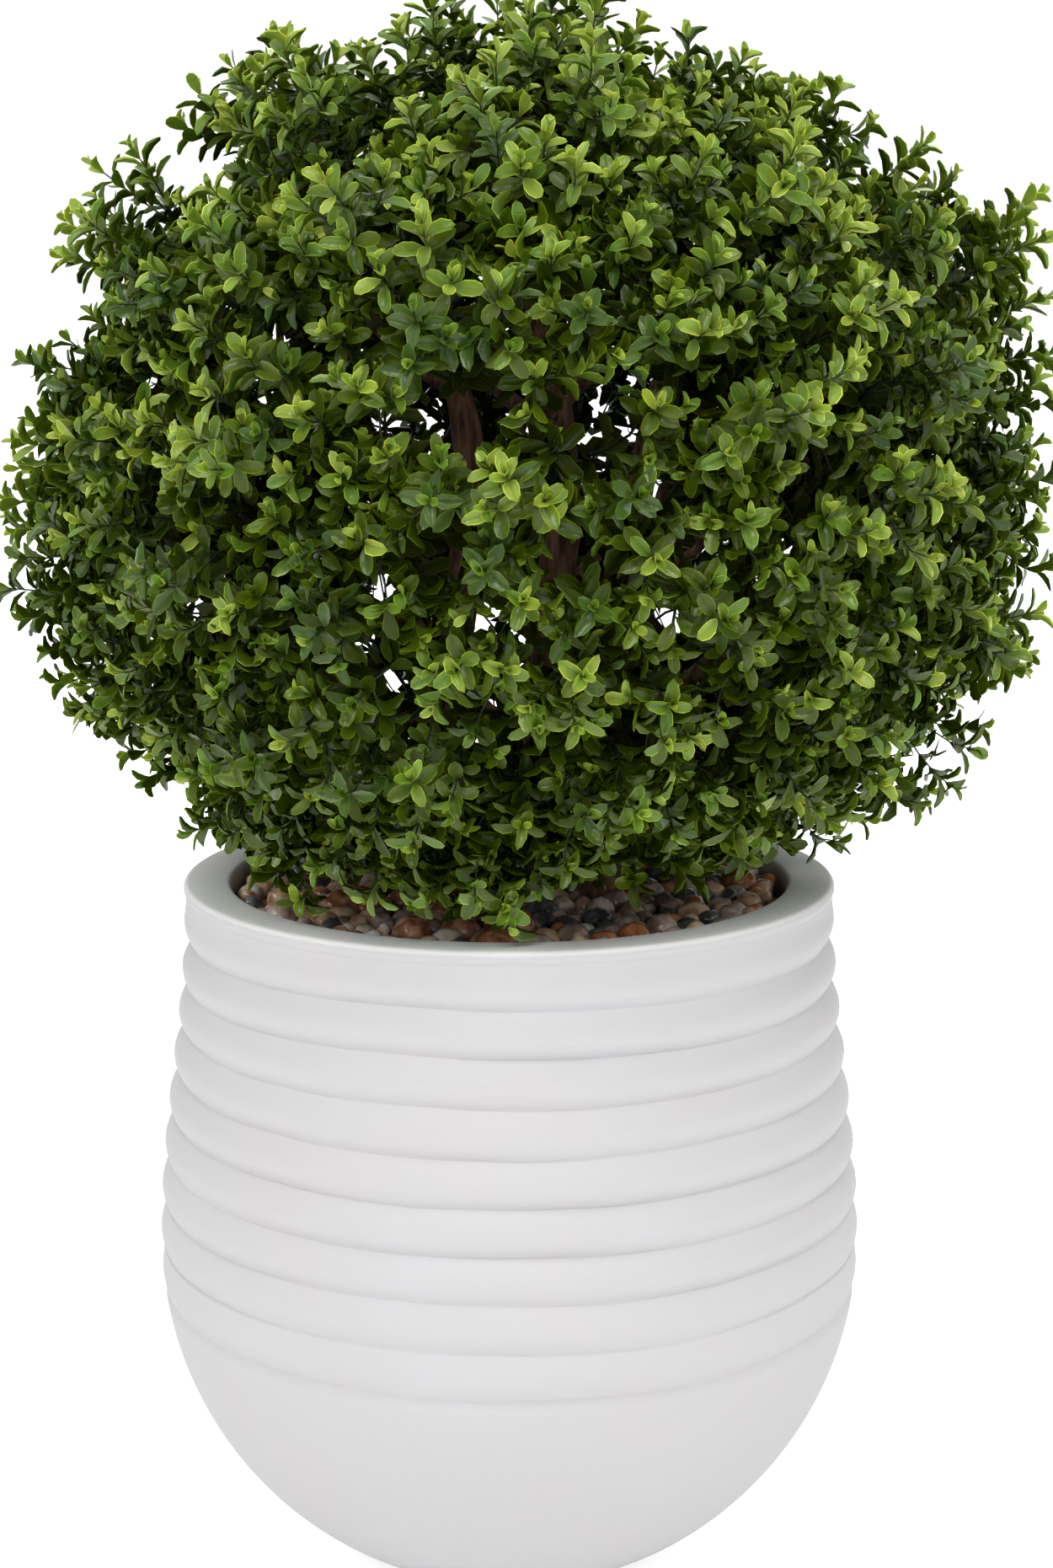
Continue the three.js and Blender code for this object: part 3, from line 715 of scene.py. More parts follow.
BOUGH_RINGS = 26
BOUGH_RIDGE = 0.006
BOUGH_BARK = 0.0011
STEM_REACH = 0.68
STEM_RINGS = 14


def direction(azimuth, elevation):
    a, e = math.radians(azimuth), math.radians(elevation)
    return np.array([math.cos(a) * math.cos(e), math.sin(a) * math.cos(e), math.sin(e)])


def ball_reach(toward, share=1.0):
    """How far a share of the ball reaches in some directions: round below, a little flatter on
    top, and cut off level above the planter."""
    toward = np.atleast_2d(toward)
    up = np.where(toward[:, 2] > 0, BALL_TOP_REACH, BALL_REACH)
    flat = np.hypot(toward[:, 0], toward[:, 1]) / BALL_REACH
    reach = share / np.hypot(flat, toward[:, 2] / up)
    deepest = (BALL_CENTRE[2] - SKIRT_HEIGHT) / np.maximum(-toward[:, 2], NEAR)
    return np.where(toward[:, 2] < 0, np.minimum(reach, deepest), reach)[:, None]


def in_ball(toward, share=1.0):
    return BALL_CENTRE + np.atleast_2d(toward) * ball_reach(toward, share)


def bough_path(mass):
    """A bough leaves its trunk as far below its tip as its slope asks."""
    tip = in_ball(mass["toward"], BOUGH_REACH)[0]
    trunk = TRUNKS[mass["bearer"]]["path"]
    last = len(trunk) - 1
    middle = trunk[round((LOWEST_FORK + HIGHEST_FORK) / 2 * last)]
    spread = np.hypot(*(tip - middle)[:2])
    fork_height = tip[2] - BOUGH_RISE * spread - BOUGH_FOOT * 3
    share = LOWEST_FORK
    while share < HIGHEST_FORK and trunk[round(share * last)][2] < fork_height:
        share += FORK_STEP
    fork = trunk[round(share * last)]
    knee = fork + (tip - fork) * BOUGH_KNEE - (0, 0, BOUGH_SAG * spread)
    return smooth_curve([fork, knee, tip], BOUGH_RINGS)


masses = [
    {
        "name": f"{ring['name']}_{i + 1}" if len(ring["bearers"]) > 1 else ring["name"],
        "toward": direction(ring["start"] + 360 * i / len(ring["bearers"]), ring["elevation"]),
        "bearer": bearer,
    }
    for ring in RINGS
    for i, bearer in enumerate(ring["bearers"])
]
for mass in masses:
    mass["bough"] = bough_path(mass)
    heart = in_ball(mass["toward"], STEM_REACH)[0]
    mass["stem"] = smooth_curve([mass["bough"][-2], mass["bough"][-1], heart], STEM_RINGS)
    path = np.vstack([mass["bough"], mass["stem"][1:]])
    taper = np.linspace(BOUGH_FOOT, STEM_TIP, len(path))
    piece = new_piece(f"bark_{mass['name']}", wires_mesh(f"bark_{mass['name']}", [path], [taper]))
    grown(
        piece, barked_limbs, Sides=BOUGH_SIDES, Ridge=BOUGH_RIDGE, Depth=BOUGH_BARK, Material=bark
    )
    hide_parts(f"bough_{mass['name']}")
    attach(piece, "root")
toward_masses = np.array([mass["toward"] for mass in masses])


# Twigs
# Wire cores sheathed in dark green plastic. Branchlets fan out from each mass's stem inside the
# ball, sprigs fork off them, and each sprig ends in a leafy leader with side shoots round it.
TWIG_SEED = 20
UP = np.array([0.0, 0.0, 1.0])
ASKEW = [0.31, 0.17, 0.93]
GOLDEN_SHARE = (3 - math.sqrt(5)) / 2
GOLDEN_TURN = 2 * math.pi * GOLDEN_SHARE
BRANCHLETS = 150
BRANCHLET_SCATTER = 0.5
BRANCHLET_REACH = 0.70
BRANCHLET_STRAY = 0.006
STEM_SPREAD = 0.9
LOWEST_ON_STEM = 0.1
BRANCHLET_SWERVE = 0.2
BRANCHLET_GIRTH = (0.0019, 0.0014)
SPRIGS = 640
SPRIG_SCATTER = 0.55
SPRIG_REACH = 0.83
SPRIG_JITTER = (0.96, 1.03)
SPRIG_GIRTH = (0.0013, 0.0010)
BRANCHLET_SPREAD = 2.4
LOWEST_ON_BRANCHLET = 0.2
OTHER_MASS_COST = 9.0
FORK_LIFT = 0.01
LEAVING_PULL = 0.3
ARRIVING_PULL = 0.4
TWIG_SIDES = 3
SIDE_SHOOT_SHARE = 0.92
SIDE_SHOOTS = [
    {"back": (0.008, 0.030), "spread": (0.018, 0.030), "pairs": 8},
    {"back": (0.012, 0.042), "spread": (0.018, 0.030), "pairs": 8},
    {"back": (0.012, 0.042), "spread": (0.018, 0.030), "pairs": 8},
    {"back": (0.045, 0.075), "spread": (0.018, 0.032), "pairs": 5},
]
LEADER_PAIRS = 10
SHOOT_FORK = (0.02, 0.35)
FORKING_BACK = 0.042
SHOOT_TURN_SPREAD = 0.3
SHOOT_SPLAY = 0.55
SHOOT_LEAVING = 0.7
SHOOT_SWERVE = 0.12
SHOOT_LIFT = 0.3
SHOOT_DROP = 0.004
SHOOT_GIRTH = (0.0009, 0.0005)
LIGHT_BEND = 0.34
SHADE_BEND = 0.5
LONG_SHARE = 0.22
LONG_REACH = (1.0, 1.055)
SHORT_REACH = (0.875, 0.985)
TIP_GROWTH = 0.004
BACK_CUT = 0.055
SPRAY_LEAN = 0.22
TIP_LEAN = 0.5 * SPRAY_LEAN
SKIRT_LIFT = 0.013
SKIRT_RISE = 0.004
SKIRT_HALF = 0.2
SKIRT_TILT = 0.1
SKIRT_RAGGED = (-0.008, 0.018)
UNDER_RADIUS = 0.085
UNDER_TOP = 0.6
TUCK = 0.06
FRONT_TUCK = 0.09
TUCK_FROM = 0.35
# Lumps and dips along the crown's outline: degrees round it from the right, the swell as a share
# of the reach there, and the width in degrees.
CROWN_LUMPS = [
    (-43, 0.14, 5), (-35, -0.16, 3), (-25, -0.13, 3), (-20, 0.10, 3), (26, 0.09, 3), (35, 0.10, 3),
    (45, -0.15, 4), (53, 0.06, 4), (60, -0.13, 3), (72, -0.09, 7), (106, -0.15, 4), (118, 0.12, 5),
    (136, -0.20, 5), (145, 0.05, 3), (158, -0.12, 5), (190, -0.06, 6), (205, 0.06, 3),
    (210, -0.14, 3), (221, -0.12, 4),
]
OUTLINE_DEPTH = 28.0
OUTLINE_AHEAD = 10.0
ROUND_LUMPS = 70
ROUND_LUMP_SCATTER = 0.6
ROUND_LUMP_GAIN = 0.026
ROUND_LUMP_WIDTH = 9.0
# A gap at the front, where the foliage is thinner and stands back, so that the trunks show.
WINDOW = {
    "x": 0.004, "z": 0.801, "half_width": 0.058, "half_height": 0.036, "left": 0.75, "reach": 0.86,
}
FRONT = -0.15
SHEATH_PATCH = 0.02
SHEATH_DARK = "#182010"
SHEATH_PALE = "#33411C"


def even_directions(count, draw, jitter):
    """Directions spread evenly over a ball, turn by turn from its foot to its top."""
    z = -1 + (2 * np.arange(count) + 1) / count
    across = np.sqrt(1 - z * z)
    angle = np.arange(count) * GOLDEN_TURN
    spread = np.stack([across * np.cos(angle), across * np.sin(angle), z], axis=1)
    return unit(spread + draw.normal(0, jitter / math.sqrt(count), spread.shape))


def unit(vectors):
    return vectors / np.maximum(np.linalg.norm(vectors, axis=-1, keepdims=True), 1e-9)


def square_to(heading):
    """Two directions square to each heading and to each other."""
    across = unit(np.cross(ASKEW, heading))
    return across, np.cross(heading, across)


def bent_to(root, leaving, end, heading):
    """Bends of four points each, which leave one way and arrive another."""
    span = np.linalg.norm(end - root, axis=1, keepdims=True)
    away = root + leaving * span * LEAVING_PULL
    back = end - heading * span * ARRIVING_PULL
    return np.stack([root, away, back, end], axis=1)


def along_bend(bend, share):
    """Points and headings at shares along some bends."""
    a, b, c, d = (bend[:, k] for k in range(4))
    t = np.asarray(share, float).reshape(-1, 1)
    s = 1 - t
    point = s**3 * a + 3 * s * s * t * b + 3 * s * t * t * c + t**3 * d
    heading = s * s * (b - a) + 2 * s * t * (c - b) + t * t * (d - c)
    return point, unit(heading)


def swollen(out, lumps):
    """How much further than the even ball the clipped crown reaches: in lumps and dips along its
    outline from the front, and in a few round ones all over."""
    angle = (np.degrees(np.arctan2(out[:, 2], out[:, 0])) + 90) % 360 - 90
    gain = sum(swell * np.exp(-(((angle - at) / width) ** 2)) for at, swell, width in CROWN_LUMPS)
    depth = np.degrees(np.arcsin(np.clip(out[:, 1], -1, 1))) + OUTLINE_AHEAD
    gain *= np.exp(-((depth / OUTLINE_DEPTH) ** 2))
    for toward, swell, width in lumps:
        away = np.degrees(np.arccos(np.clip(out @ toward, -1, 1)))
        gain += swell * np.exp(-((away / width) ** 2))
    return gain


def sheathed_wire():
    """Wire dipped in dark green plastic: satin, all but black inside the ball."""
    material, tree = new_material("sheathed_wire")
    sheathing = mottle(tree, SHEATH_PATCH, [SHEATH_DARK, SHEATH_PALE])
    shader = add_node(tree, "ShaderNodeBsdfPrincipled", Base_Color=sheathing, Roughness=0.55)
    add_node(tree, "ShaderNodeOutputMaterial", Surface=shader)
    return material


def twig_piece(name, bend, girth, steps):
    """One piece of all twigs of an order, each tapering along its bend."""
    shares = np.linspace(0, 1, steps + 1)
    paths = np.stack([along_bend(bend, np.full(len(bend), s))[0] for s in shares], axis=1)
    taper = np.linspace(*girth, steps + 1)
    piece = new_piece(name, wires_mesh(name, list(paths), [taper] * len(paths)))
    grown(piece, barked_limbs, Sides=TWIG_SIDES, Ridge=BARK_RIDGE, Depth=0.0, Material=sheath)
    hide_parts(*(f"foliage_{mass['name']}" for mass in masses))
    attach(piece, "root")


draw = np.random.default_rng(TWIG_SEED)
sheath = sheathed_wire()
lumps = [
    (toward, ROUND_LUMP_GAIN * draw.choice([-1.0, 1.0]), ROUND_LUMP_WIDTH)
    for toward in even_directions(ROUND_LUMPS, draw, ROUND_LUMP_SCATTER)
]

stems = np.array([mass["stem"] for mass in masses])
stem_bends = np.stack([stems[:, 0], stems[:, 4], stems[:, 9], stems[:, -1]], axis=1)
out = even_directions(BRANCHLETS, draw, BRANCHLET_SCATTER)
owner = (out @ toward_masses.T).argmax(1)
away = np.arccos(np.clip((out * toward_masses[owner]).sum(1), -1, 1))
root, leaving = along_bend(stem_bends[owner], np.clip(1 - STEM_SPREAD * away, LOWEST_ON_STEM, 1))
end = in_ball(out, BRANCHLET_REACH) + draw.normal(0, BRANCHLET_STRAY, out.shape)
heading = unit(out + BRANCHLET_SWERVE * draw.normal(0, 1, out.shape))
branchlets = {"out": out, "owner": owner, "bend": bent_to(root, leaving, end, heading)}
twig_piece("branchlets", branchlets["bend"], BRANCHLET_GIRTH, 7)

out = even_directions(SPRIGS, draw, SPRIG_SCATTER)
owner = (out @ toward_masses.T).argmax(1)
kin = out @ branchlets["out"].T - OTHER_MASS_COST * (owner[:, None] != branchlets["owner"])
parent = kin.argmax(1)
away = np.arccos(np.clip(kin.max(1), -1, 1))
crown_reach = (1 + swollen(out, lumps)) * (1 - BACK_CUT * np.clip(out[:, 1], 0, 1) ** 2)
tuck = np.where(out[:, 1] < 0, FRONT_TUCK, TUCK)
crown_reach *= 1 - tuck * np.clip((-out[:, 2] - TUCK_FROM) / TUCK_FROM, 0, 1)
reach = SPRIG_REACH * crown_reach * draw.uniform(*SPRIG_JITTER, SPRIGS)
fork = BALL_CENTRE + out * ball_reach(out) * reach[:, None]
fork[:, 2] = np.maximum(fork[:, 2], SKIRT_HEIGHT + SKIRT_LIFT + FORK_LIFT)
across_window = (fork[:, 0] - WINDOW["x"]) / WINDOW["half_width"]
up_window = (fork[:, 2] - WINDOW["z"]) / WINDOW["half_height"]
in_window = (fork[:, 1] < FRONT) & (across_window**2 + up_window**2 < 1)
beside = np.hypot(fork[:, 0] - BALL_CENTRE[0], fork[:, 1])
keep = (beside > UNDER_RADIUS) | (fork[:, 2] > UNDER_TOP)
keep &= ~(in_window & (draw.uniform(0, 1, SPRIGS) > WINDOW["left"]))
fork_share = np.clip(1 - BRANCHLET_SPREAD * away, LOWEST_ON_BRANCHLET, 1)
root, leaving = along_bend(branchlets["bend"][parent], fork_share)
bend = LIGHT_BEND + SHADE_BEND * np.clip(-out[:, 2:], 0, 1)
heading = unit(out + draw.normal(0, SPRAY_LEAN, out.shape) + bend * UP)
sprigs = {"bend": bent_to(root, leaving, fork, heading)[keep]}
twig_piece("sprigs", sprigs["bend"], SPRIG_GIRTH, 5)

long = draw.uniform(0, 1, SPRIGS) < LONG_SHARE
reach = np.where(long, draw.uniform(*LONG_REACH, SPRIGS), draw.uniform(*SHORT_REACH, SPRIGS))
reach *= crown_reach * np.where(in_window & (reach < 1), WINDOW["reach"], 1)
tips = BALL_CENTRE + out * ball_reach(out) * reach[:, None] + heading * TIP_GROWTH
lowest = SKIRT_HEIGHT + SKIRT_LIFT + SKIRT_RISE * (tips[:, 0] / SKIRT_HALF) ** 2
lowest += SKIRT_TILT * np.maximum(tips[:, 0], 0)
lowest += draw.uniform(*SKIRT_RAGGED, SPRIGS)
tips[:, 2] = np.maximum(tips[:, 2], lowest)
tip_heading = unit(heading + draw.normal(0, TIP_LEAN, out.shape))
leaders = bent_to(fork, heading, tips, tip_heading)
sprays = np.arange(SPRIGS)
leader_pairs = np.full(keep.sum(), LEADER_PAIRS)
grown_shoots = [(leaders[keep], sprays[keep], leader_pairs, np.zeros(keep.sum()))]
around = draw.uniform(0, 2 * math.pi, SPRIGS)
across, over = square_to(tip_heading)
for k, shoot in enumerate(SIDE_SHOOTS):
    turn = around + 2 * math.pi * k * GOLDEN_SHARE + draw.normal(0, SHOOT_TURN_SPREAD, SPRIGS)
    side = across * np.cos(turn)[:, None] + over * np.sin(turn)[:, None]
    back = draw.uniform(*shoot["back"], SPRIGS)
    fork_share = draw.uniform(*SHOOT_FORK, SPRIGS) * (back < FORKING_BACK)
    root, leaving = along_bend(leaders, fork_share)
    end = tips - tip_heading * back[:, None]
    end += side * draw.uniform(*shoot["spread"], SPRIGS)[:, None]
    end[:, 2] = np.maximum(end[:, 2], lowest - SHOOT_DROP)
    swerve = draw.normal(0, SHOOT_SWERVE, out.shape)
    heading = unit(tip_heading + side * SHOOT_SPLAY + swerve + SHOOT_LIFT * LIGHT_BEND * UP)
    grew = keep & (draw.uniform(0, 1, SPRIGS) < SIDE_SHOOT_SHARE)
    bends = bent_to(root, unit(leaving + side * SHOOT_LEAVING), end, heading)
    pairs = np.full(grew.sum(), shoot["pairs"])
    grown_shoots.append((bends[grew], sprays[grew], pairs, back[grew]))
shoots, shoot_spray, shoot_pairs, shoot_depth = map(np.concatenate, zip(*grown_shoots))
twig_piece("shoots", shoots, SHOOT_GIRTH, 5)


# Leaves
# Box leaves of moulded plastic in crossed pairs, each pair at right angles to the last, larger
# and further apart the further they are from the tip. The youngest are a bright yellow green.
LEAF_SEED = 77
LEAF_LENGTH = 0.0204
LEAF_WIDTH = 0.0090
PAIR_BACK = [0.001, 0.0066, 0.0138, 0.0216, 0.0298, 0.0382, 0.0468, 0.0555, 0.0645, 0.0735]
PAIR_SIZE = [0.58, 0.86, 1.0, 1.0, 1.0, 1.0, 0.98, 0.98, 0.98, 0.98]
PAIR_LEAN = [20, 41, 54, 61, 64, 65, 66, 67, 68, 68]
OLD_PAIRS = [0.02, 0.18, 0.34, 0.5, 0.66, 0.82]
OLD_SIZE = 1.25
OLD_LEAN = 62
FINE_ROWS = [(0.15, 0.38), (0.42, 0.9), (0.7, 1.0), (0.91, 0.68)]
PLAIN_ROWS = [(0.2, 0.5), (0.58, 1.0), (0.87, 0.7)]
OLD_ROWS = [(0.34, 0.8), (0.82, 0.86)]
CUP = 0.28
BEND_BACK = 0.26
BEND_CURVE = 2.2
ARCH = 0.10
TIP_DROP = 0.14
PAIR_JITTER = (0.9, 1.1)
PAIR_TURN_SPREAD = 0.15
LEAN_SPREAD = 8
LENGTH_JITTER = (0.88, 1.1)
WIDTH_JITTER = (0.82, 1.14)
BOW_JITTER = (0.15, 1.1)
LEAF_LIFT = 0.10
LEAF_MIDDLE = 0.55
LEAFY_SHARE = 0.95
LEAF_LOSS = 0.03
LEAF_FLOOR = 0.478
RIM_CLEARANCE = 0.003
SEEN_FROM = np.array([0.012, -2.0, 0.926])
CAMERA_TILT = 10.83
PHOTO_WIDTH = 1250
PHOTO_HEIGHT = 1861
FOCAL_PIXELS = 3500
# Chinks that light shows through, each a round gap about a line of sight from the front: where it
# is seen, in pixels across and down, and its radius at the ball's middle plane in millimetres.
CHINKS = [
    (748, 512, 10), (716, 485, 9), (778, 458, 8), (697, 521, 8), (455, 507, 14), (467, 808, 11),
    (436, 762, 11), (454, 700, 12), (792, 733, 13), (234, 719, 10), (586, 838, 10),
    (181, 455, 10), (785, 585, 10), (567, 739, 10),
]
LEAF_KINDS = {
    "young": {"cool": "#82A13A", "warm": "#93A336", "sheen": 0.45, "rows": FINE_ROWS},
    "fresh": {"cool": "#5B7D23", "warm": "#6A7F21", "sheen": 0.48, "rows": FINE_ROWS},
    "grown": {"cool": "#415A0B", "warm": "#4D5C06", "sheen": 0.4, "rows": FINE_ROWS},
    # Painted shade, in part: the darker green of older leaves, made darker still for leaves that lie
    # in the shade inside the ball.
    "deep": {"cool": "#2F4503", "warm": "#3A4802", "sheen": 0.22, "rows": PLAIN_ROWS},
    "blue": {"cool": "#3F5C20", "warm": "#465B16", "sheen": 0.48, "rows": PLAIN_ROWS},
    # Painted shade, in part: the leaves on the twigs inside the ball are older still and all but
    # black, standing for the shade there.
    "old": {"cool": "#263304", "warm": "#333904", "sheen": 0.1, "rows": OLD_ROWS},
}
# A leaf's age is its pair's number from the tip, with what its tint adds to it, and with what its
# depth and height add as painted shade, so that leaves further in and lower down take darker kinds.
# It counts as fresh, grown and deep from these ages on.
AGES = [0.8, 2.4, 4.7]
AGE_SPREAD = 0.8
INNER_SHADE_AGE = 30
LOW_SHADE_AGE = 4.8
AGE_TINT = 2.8
TINT_MIDDLE = 0.58
TINT_SPREAD = 0.1
BLUE_SHARE = 0.18
# Each change of a leaf's colour: the attribute it goes by, the values that it runs between, how
# strong it is at each, and the tone that it turns to, made lighter or darker by a gain.
LEAF_TONES = {
    # Painted highlight, in part: the leaf's rim is paler in its own colour, and paler still where
    # its thick edge catches light.
    "margin_and_edge_light": {"by": "edge", "from": (0.82, 1.0), "to": (0.0, 0.85), "tone": "warm", "gain": 1.65},
    # Painted shade in the crease along the rib.
    "crease_shade": {"by": "edge", "from": (0.0, 0.14), "to": (0.3, 0.0), "tone": "cool", "gain": 0.75},
    # Painted shade towards the leaf's root, where its neighbours shade it.
    "root_shade": {"by": "along", "from": (0.0, 0.55), "to": (0.5, 0.0), "tone": "cool", "gain": 0.5},
}
LEAF_PATCH = 0.02
LEAF_GRAIN = 0.005
LEAF_RELIEF = 0.0004


def leaf_shape(name, rows):
    """A leaf from root to tip along X, one long and one wide: blunt, a little cupped along its
    rib and bent back. Its attribute "edge" is 0 on the rib and 1 on the outline, and its "along"
    is 0 at the root and 1 at the tip."""
    points = [(0.0, 0.0, 0.0)]
    for along, half in rows:
        bow = ARCH * math.sin(math.pi * along) - BEND_BACK * along**BEND_CURVE
        fold = bow + CUP * half
        points += [(along, -half / 2, fold), (along, 0.0, bow), (along, half / 2, fold)]
    points.append((1.0, 0.0, -TIP_DROP))
    last = len(points) - 1
    faces = [(0, 1, 2), (0, 2, 3)]
    for row in range(len(rows) - 1):
        a, b = 1 + 3 * row, 4 + 3 * row
        faces += [(a, b, b + 1, a + 1), (a + 1, b + 1, b + 2, a + 2)]
    a = last - 3
    faces += [(a, last, a + 1), (a + 1, last, a + 2)]
    mesh = bpy.data.meshes.new(name)
    mesh.from_pydata(points, [], faces)
    edge = [1.0] + [1.0, 0.0, 1.0] * len(rows) + [1.0]
    mesh.attributes.new("edge", "FLOAT", "POINT").data.foreach_set("value", edge)
    along = [point[0] for point in points]
    mesh.attributes.new("along", "FLOAT", "POINT").data.foreach_set("value", along)
    mesh.shade_smooth()
    return new_piece(name, mesh)


def shaded(colour, gain):
    """A hex colour made lighter or darker."""
    parts = [min(255, round(int(colour[i : i + 2], 16) * gain)) for i in (1, 3, 5)]
    return "#{:02X}{:02X}{:02X}".format(*parts)


def moulded_leaf(name, tones, sheen):
    """Soft moulded plastic: satin, a little waxy, its green a shade uneven. The rim is paler, partly
    in its own colour and partly as painted highlight where the thick edge catches light; painted
    shade darkens the crease along the rib and the leaf towards its root."""
    material, tree = new_material(f"moulded_leaf_{name}")
    green = mottle(tree, LEAF_PATCH, [tones["cool"], tones["warm"]], 2.0)
    for change in LEAF_TONES.values():
        attribute = {"attribute_type": "GEOMETRY", "attribute_name": change["by"]}
        measure = add_node(tree, "ShaderNodeAttribute", attribute).outputs["Fac"]
        share = add_node(
            tree, "ShaderNodeMapRange", {"interpolation_type": "SMOOTHSTEP"}, measure,
            *change["from"], *change["to"],
        )
        tone = linear(shaded(tones[change["tone"]], change["gain"]))
        green = add_node(
            tree, "ShaderNodeMix", {"data_type": "RGBA"}, n0=share, n6=green, n7=tone
        ).outputs[2]
    shader = add_node(
        tree, "ShaderNodeBsdfPrincipled", Base_Color=green, Roughness=0.27, IOR=1.47,
        Specular_IOR_Level=sheen, Normal=relief(tree, LEAF_GRAIN, LEAF_RELIEF),
    )
    add_node(tree, "ShaderNodeOutputMaterial", Surface=shader)
    return material


def turns_from(x, y, z):
    """Quaternions, w first, of frames whose columns are unit vectors."""
    m = np.stack([x, y, z], axis=2)
    xx, yy, zz = m[:, 0, 0], m[:, 1, 1], m[:, 2, 2]
    w = np.sqrt(np.maximum(1 + xx + yy + zz, 0)) / 2
    i = np.copysign(np.sqrt(np.maximum(1 + xx - yy - zz, 0)) / 2, m[:, 2, 1] - m[:, 1, 2])
    j = np.copysign(np.sqrt(np.maximum(1 - xx + yy - zz, 0)) / 2, m[:, 0, 2] - m[:, 2, 0])
    k = np.copysign(np.sqrt(np.maximum(1 - xx - yy + zz, 0)) / 2, m[:, 1, 0] - m[:, 0, 1])
    return np.stack([w, i, j, k], axis=1)


def seen_at(across, down):
    """Where the line of sight through a pixel meets the ball's middle plane, to a millimetre."""
    tilt = math.radians(CAMERA_TILT)
    right = (across - PHOTO_WIDTH / 2) / FOCAL_PIXELS
    up = (PHOTO_HEIGHT / 2 - down) / FOCAL_PIXELS
    distance = -SEEN_FROM[1] / (math.cos(tilt) + up * math.sin(tilt))
    rise = (up * math.cos(tilt) - math.sin(tilt)) * distance
    return round(SEEN_FROM[0] + right * distance, 3), round(SEEN_FROM[2] + rise, 3)


def in_chink(points):
    """Whether points lie in one of the chinks."""
    away = points - SEEN_FROM
    seen = SEEN_FROM + away * (-SEEN_FROM[1] / away[:, 1:2])
    gap = np.hypot(seen[:, :1] - chinks[:, 0], seen[:, 2:] - chinks[:, 1])
    return (gap < chinks[:, 2]).any(axis=1)


def crossed_pair(at, heading, turn, lean, size, draw):
    """Two leaves on opposite sides of each twig, as places, turns and sizes."""
    across, over = square_to(heading)
    side = across * np.cos(turn)[:, None] + over * np.sin(turn)[:, None]
    for hand in (1, -1):
        angle = np.radians(lean + draw.normal(0, LEAN_SPREAD, len(at)))[:, None]
        x = unit(heading * np.cos(angle) + side * hand * np.sin(angle) + LEAF_LIFT * UP)
        z = unit(heading - x * (heading * x).sum(1, keepdims=True))
        long = LEAF_LENGTH * size * draw.uniform(*LENGTH_JITTER, len(at))
        wide = LEAF_WIDTH * size * draw.uniform(*WIDTH_JITTER, len(at))
        bow = long * draw.uniform(*BOW_JITTER, len(at))
        tip = at + x * long[:, None]
        over_rim = np.hypot(tip[:, 0], tip[:, 1]) > MOUTH_RADIUS - RIM_CLEARANCE
        clear = tip[:, 2] > np.where(over_rim, POT_HEIGHT + RIM_CLEARANCE, LEAF_FLOOR)
        clear &= ~in_chink(at + x * long[:, None] * LEAF_MIDDLE)
        yield clear, at, turns_from(x, np.cross(z, x), z), np.stack([long, wide, bow], axis=1)


chinks = np.array([(*seen_at(x, y), radius * MILLIMETRE) for x, y, radius in CHINKS])
draw = np.random.default_rng(LEAF_SEED)
dealt = {name: [] for name in LEAF_KINDS}
names = list(LEAF_KINDS)


def deal(kind, clear, at, turn, size):
    for i, name in enumerate(names):
        mine = clear & (kind == i)
        dealt[name].append((at[mine], turn[mine], size[mine]))


count = len(shoots)
length = np.linalg.norm(np.diff(shoots, axis=1), axis=2).sum(1)
tint = draw.uniform(0, 1, SPRIGS)[shoot_spray] + draw.normal(0, TINT_SPREAD, count)
tint = np.clip(tint, 0, 1)
first_turn = draw.uniform(0, math.pi, count)
for k, (back, size, lean) in enumerate(zip(PAIR_BACK, PAIR_SIZE, PAIR_LEAN)):
    reach = back * draw.uniform(*PAIR_JITTER, count)
    on = (reach < length * LEAFY_SHARE) & (k < shoot_pairs)
    at, heading = along_bend(shoots, np.clip(1 - reach / length, 0, 1))
    turn = first_turn + k * math.pi / 2 + draw.normal(0, PAIR_TURN_SPREAD, count)
    for clear, at, turned, sizes in crossed_pair(at, heading, turn, lean, size, draw):
        age = k + draw.normal(0, AGE_SPREAD, count) + (TINT_MIDDLE - tint) * AGE_TINT
        # Painted shade: leaves on shoots that end further back in the crown, and leaves lower in the
        # ball, count as older and so take darker kinds.
        age += shoot_depth * INNER_SHADE_AGE
        age += (BALL_CENTRE[2] - at[:, 2]) * LOW_SHADE_AGE
        kind = np.searchsorted(AGES, age, side="right")
        blue = (tint < BLUE_SHARE) & (k > 0) & (kind < names.index("deep"))
        kind = np.where(blue, names.index("blue"), kind)
        left = draw.uniform(0, 1, count) > LEAF_LOSS
        deal(kind, clear & on & left, at, turned, sizes)
# Leaves on the branchlets and sprigs inside the ball, of the all but black kind that paints the
# shade there.
inner = np.concatenate([branchlets["bend"], sprigs["bend"]])
count = len(inner)
first_turn = draw.uniform(0, math.pi, count)
for k, share in enumerate(OLD_PAIRS):
    at, heading = along_bend(inner, np.full(count, share))
    turn = first_turn + k * math.pi / 2
    for clear, at, turned, sizes in crossed_pair(at, heading, turn, OLD_LEAN, OLD_SIZE, draw):
        deal(np.full(count, names.index("old")), clear, at, turned, sizes)
for name, kind in LEAF_KINDS.items():
    leaf = leaf_shape("leaf", kind["rows"])
    places, turns, sizes = (np.concatenate(part) for part in zip(*dealt[name]))
    piece = new_piece(f"leaves_{name}", points_mesh(f"leaves_{name}", places, turns, sizes))
    grown(
        piece, strewn_shapes, Shape=leaf, Lump_size=STONE_LUMP, Lump_depth=0.0,
        Material=moulded_leaf(name, kind, kind["sheen"]),
    )
    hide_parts(*(f"foliage_{mass['name']}" for mass in masses))
    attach(piece, "root")
    bpy.data.objects.remove(leaf)


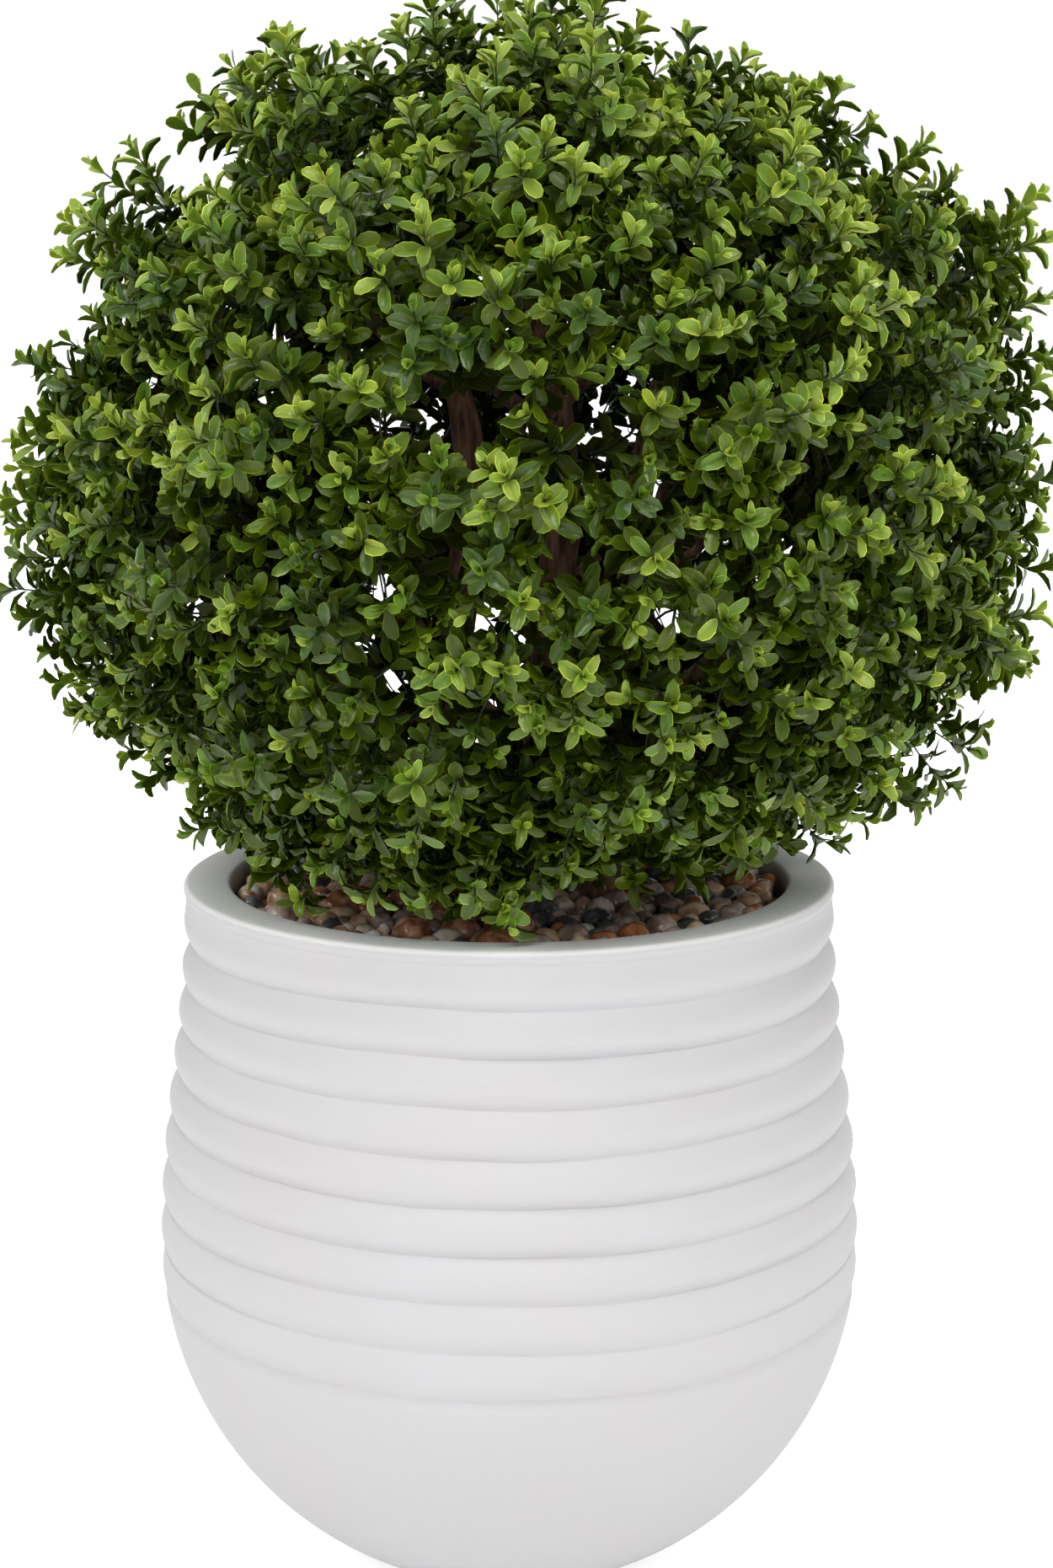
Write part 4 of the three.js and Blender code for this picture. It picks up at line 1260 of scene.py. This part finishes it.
# Studio
# A white floor under six soft round lamps, four in front and above, one low and one behind, in
# a white room that is brightest overhead. The camera looks down a little, from higher than the
# middle of the ball.
scene = bpy.context.scene
SENSOR = 36.0
camera = bpy.data.objects.new("camera", bpy.data.cameras.new("camera"))
camera.location = SEEN_FROM
camera.rotation_euler = (math.radians(90 - CAMERA_TILT), 0, 0)
camera.data.sensor_width = SENSOR
camera.data.lens = FOCAL_PIXELS / PHOTO_HEIGHT * SENSOR
scene.collection.objects.link(camera)
scene.camera = camera

FLOOR_HALF = 30.0
FLOOR_GAP = 0.0005
FLOOR_GLOW = 0.22
FLOOR_GLOW_SEEN = 0.40
floor_mesh = bpy.data.meshes.new("floor")
corners = [(x * FLOOR_HALF, y * FLOOR_HALF, 0) for x, y in ((-1, -1), (1, -1), (1, 1), (-1, 1))]
floor_mesh.from_pydata(corners, [], [(0, 1, 2, 3)])
floor = new_piece("floor", floor_mesh)
floor.location.z = -FLOOR_GAP
material, tree = new_material("white_floor")
seen = add_node(tree, "ShaderNodeLightPath").outputs["Is Camera Ray"]
glow = add_node(tree, "ShaderNodeMath", "MULTIPLY_ADD", seen, FLOOR_GLOW_SEEN, FLOOR_GLOW)
paper = add_node(
    tree, "ShaderNodeBsdfPrincipled", Base_Color=linear("#F0F0F0"), Roughness=0.9,
    Emission_Color=(1, 1, 1, 1), Emission_Strength=glow,
)
add_node(tree, "ShaderNodeOutputMaterial", Surface=paper)
floor_mesh.materials.append(material)


def soft_light(name, at, aim, size, power):
    """A round lamp at a place, turned to what it lights."""
    lamp = bpy.data.lights.new(name, "AREA")
    lamp.shape = "DISK"
    lamp.size = size
    lamp.energy = power
    holder = bpy.data.objects.new(name, lamp)
    holder.location = at
    toward = np.array(aim) - np.array(at)
    holder.rotation_euler = (
        math.atan2(math.hypot(toward[0], toward[1]), -toward[2]), 0,
        math.atan2(toward[0], -toward[1]) + math.pi,
    )
    scene.collection.objects.link(holder)


soft_light("overhead", (0.1, -2.3, 2.7), (0, 0, 0.6), 1.4, 15)
soft_light("left", (-2.2, -1.3, 2.5), (0, 0, 0.5), 1.1, 15)
soft_light("right", (2.2, -1.3, 2.5), (0, 0, 0.5), 1.1, 13)
soft_light("front", (-0.3, -2.7, 2.4), (0, 0, 0.5), 1.2, 15)
soft_light("low", (0.4, -3.3, 1.0), (0, 0, 0.5), 0.8, 4)
soft_light("behind", (0.2, 2.4, 2.6), (0, 0, 0.6), 1.4, 16)

WALL_LIGHT = 0.44
CEILING_LIGHT = 1.2
SEEN_LIGHT = 1.05
CEILING_FROM = 0.4
CEILING_TO = 0.85
world = bpy.data.worlds.new("studio")
scene.world = world
world.use_nodes = True
tree = world.node_tree
tree.nodes.clear()
seen = add_node(tree, "ShaderNodeLightPath").outputs["Is Camera Ray"]
toward = add_node(tree, "ShaderNodeTexCoord").outputs["Generated"]
up = add_node(tree, "ShaderNodeSeparateXYZ", Vector=toward).outputs["Z"]
wall = add_node(
    tree, "ShaderNodeMapRange", {"interpolation_type": "SMOOTHSTEP"},
    up, CEILING_FROM, CEILING_TO, WALL_LIGHT, CEILING_LIGHT,
)
strength = add_node(tree, "ShaderNodeMapRange", Value=seen, To_Min=wall, To_Max=SEEN_LIGHT)
white = add_node(tree, "ShaderNodeBackground", Color=(1, 1, 1, 1), Strength=strength)
add_node(tree, "ShaderNodeOutputWorld", Surface=white)
scene.view_settings.view_transform = "Standard"
scene.view_settings.look = "None"
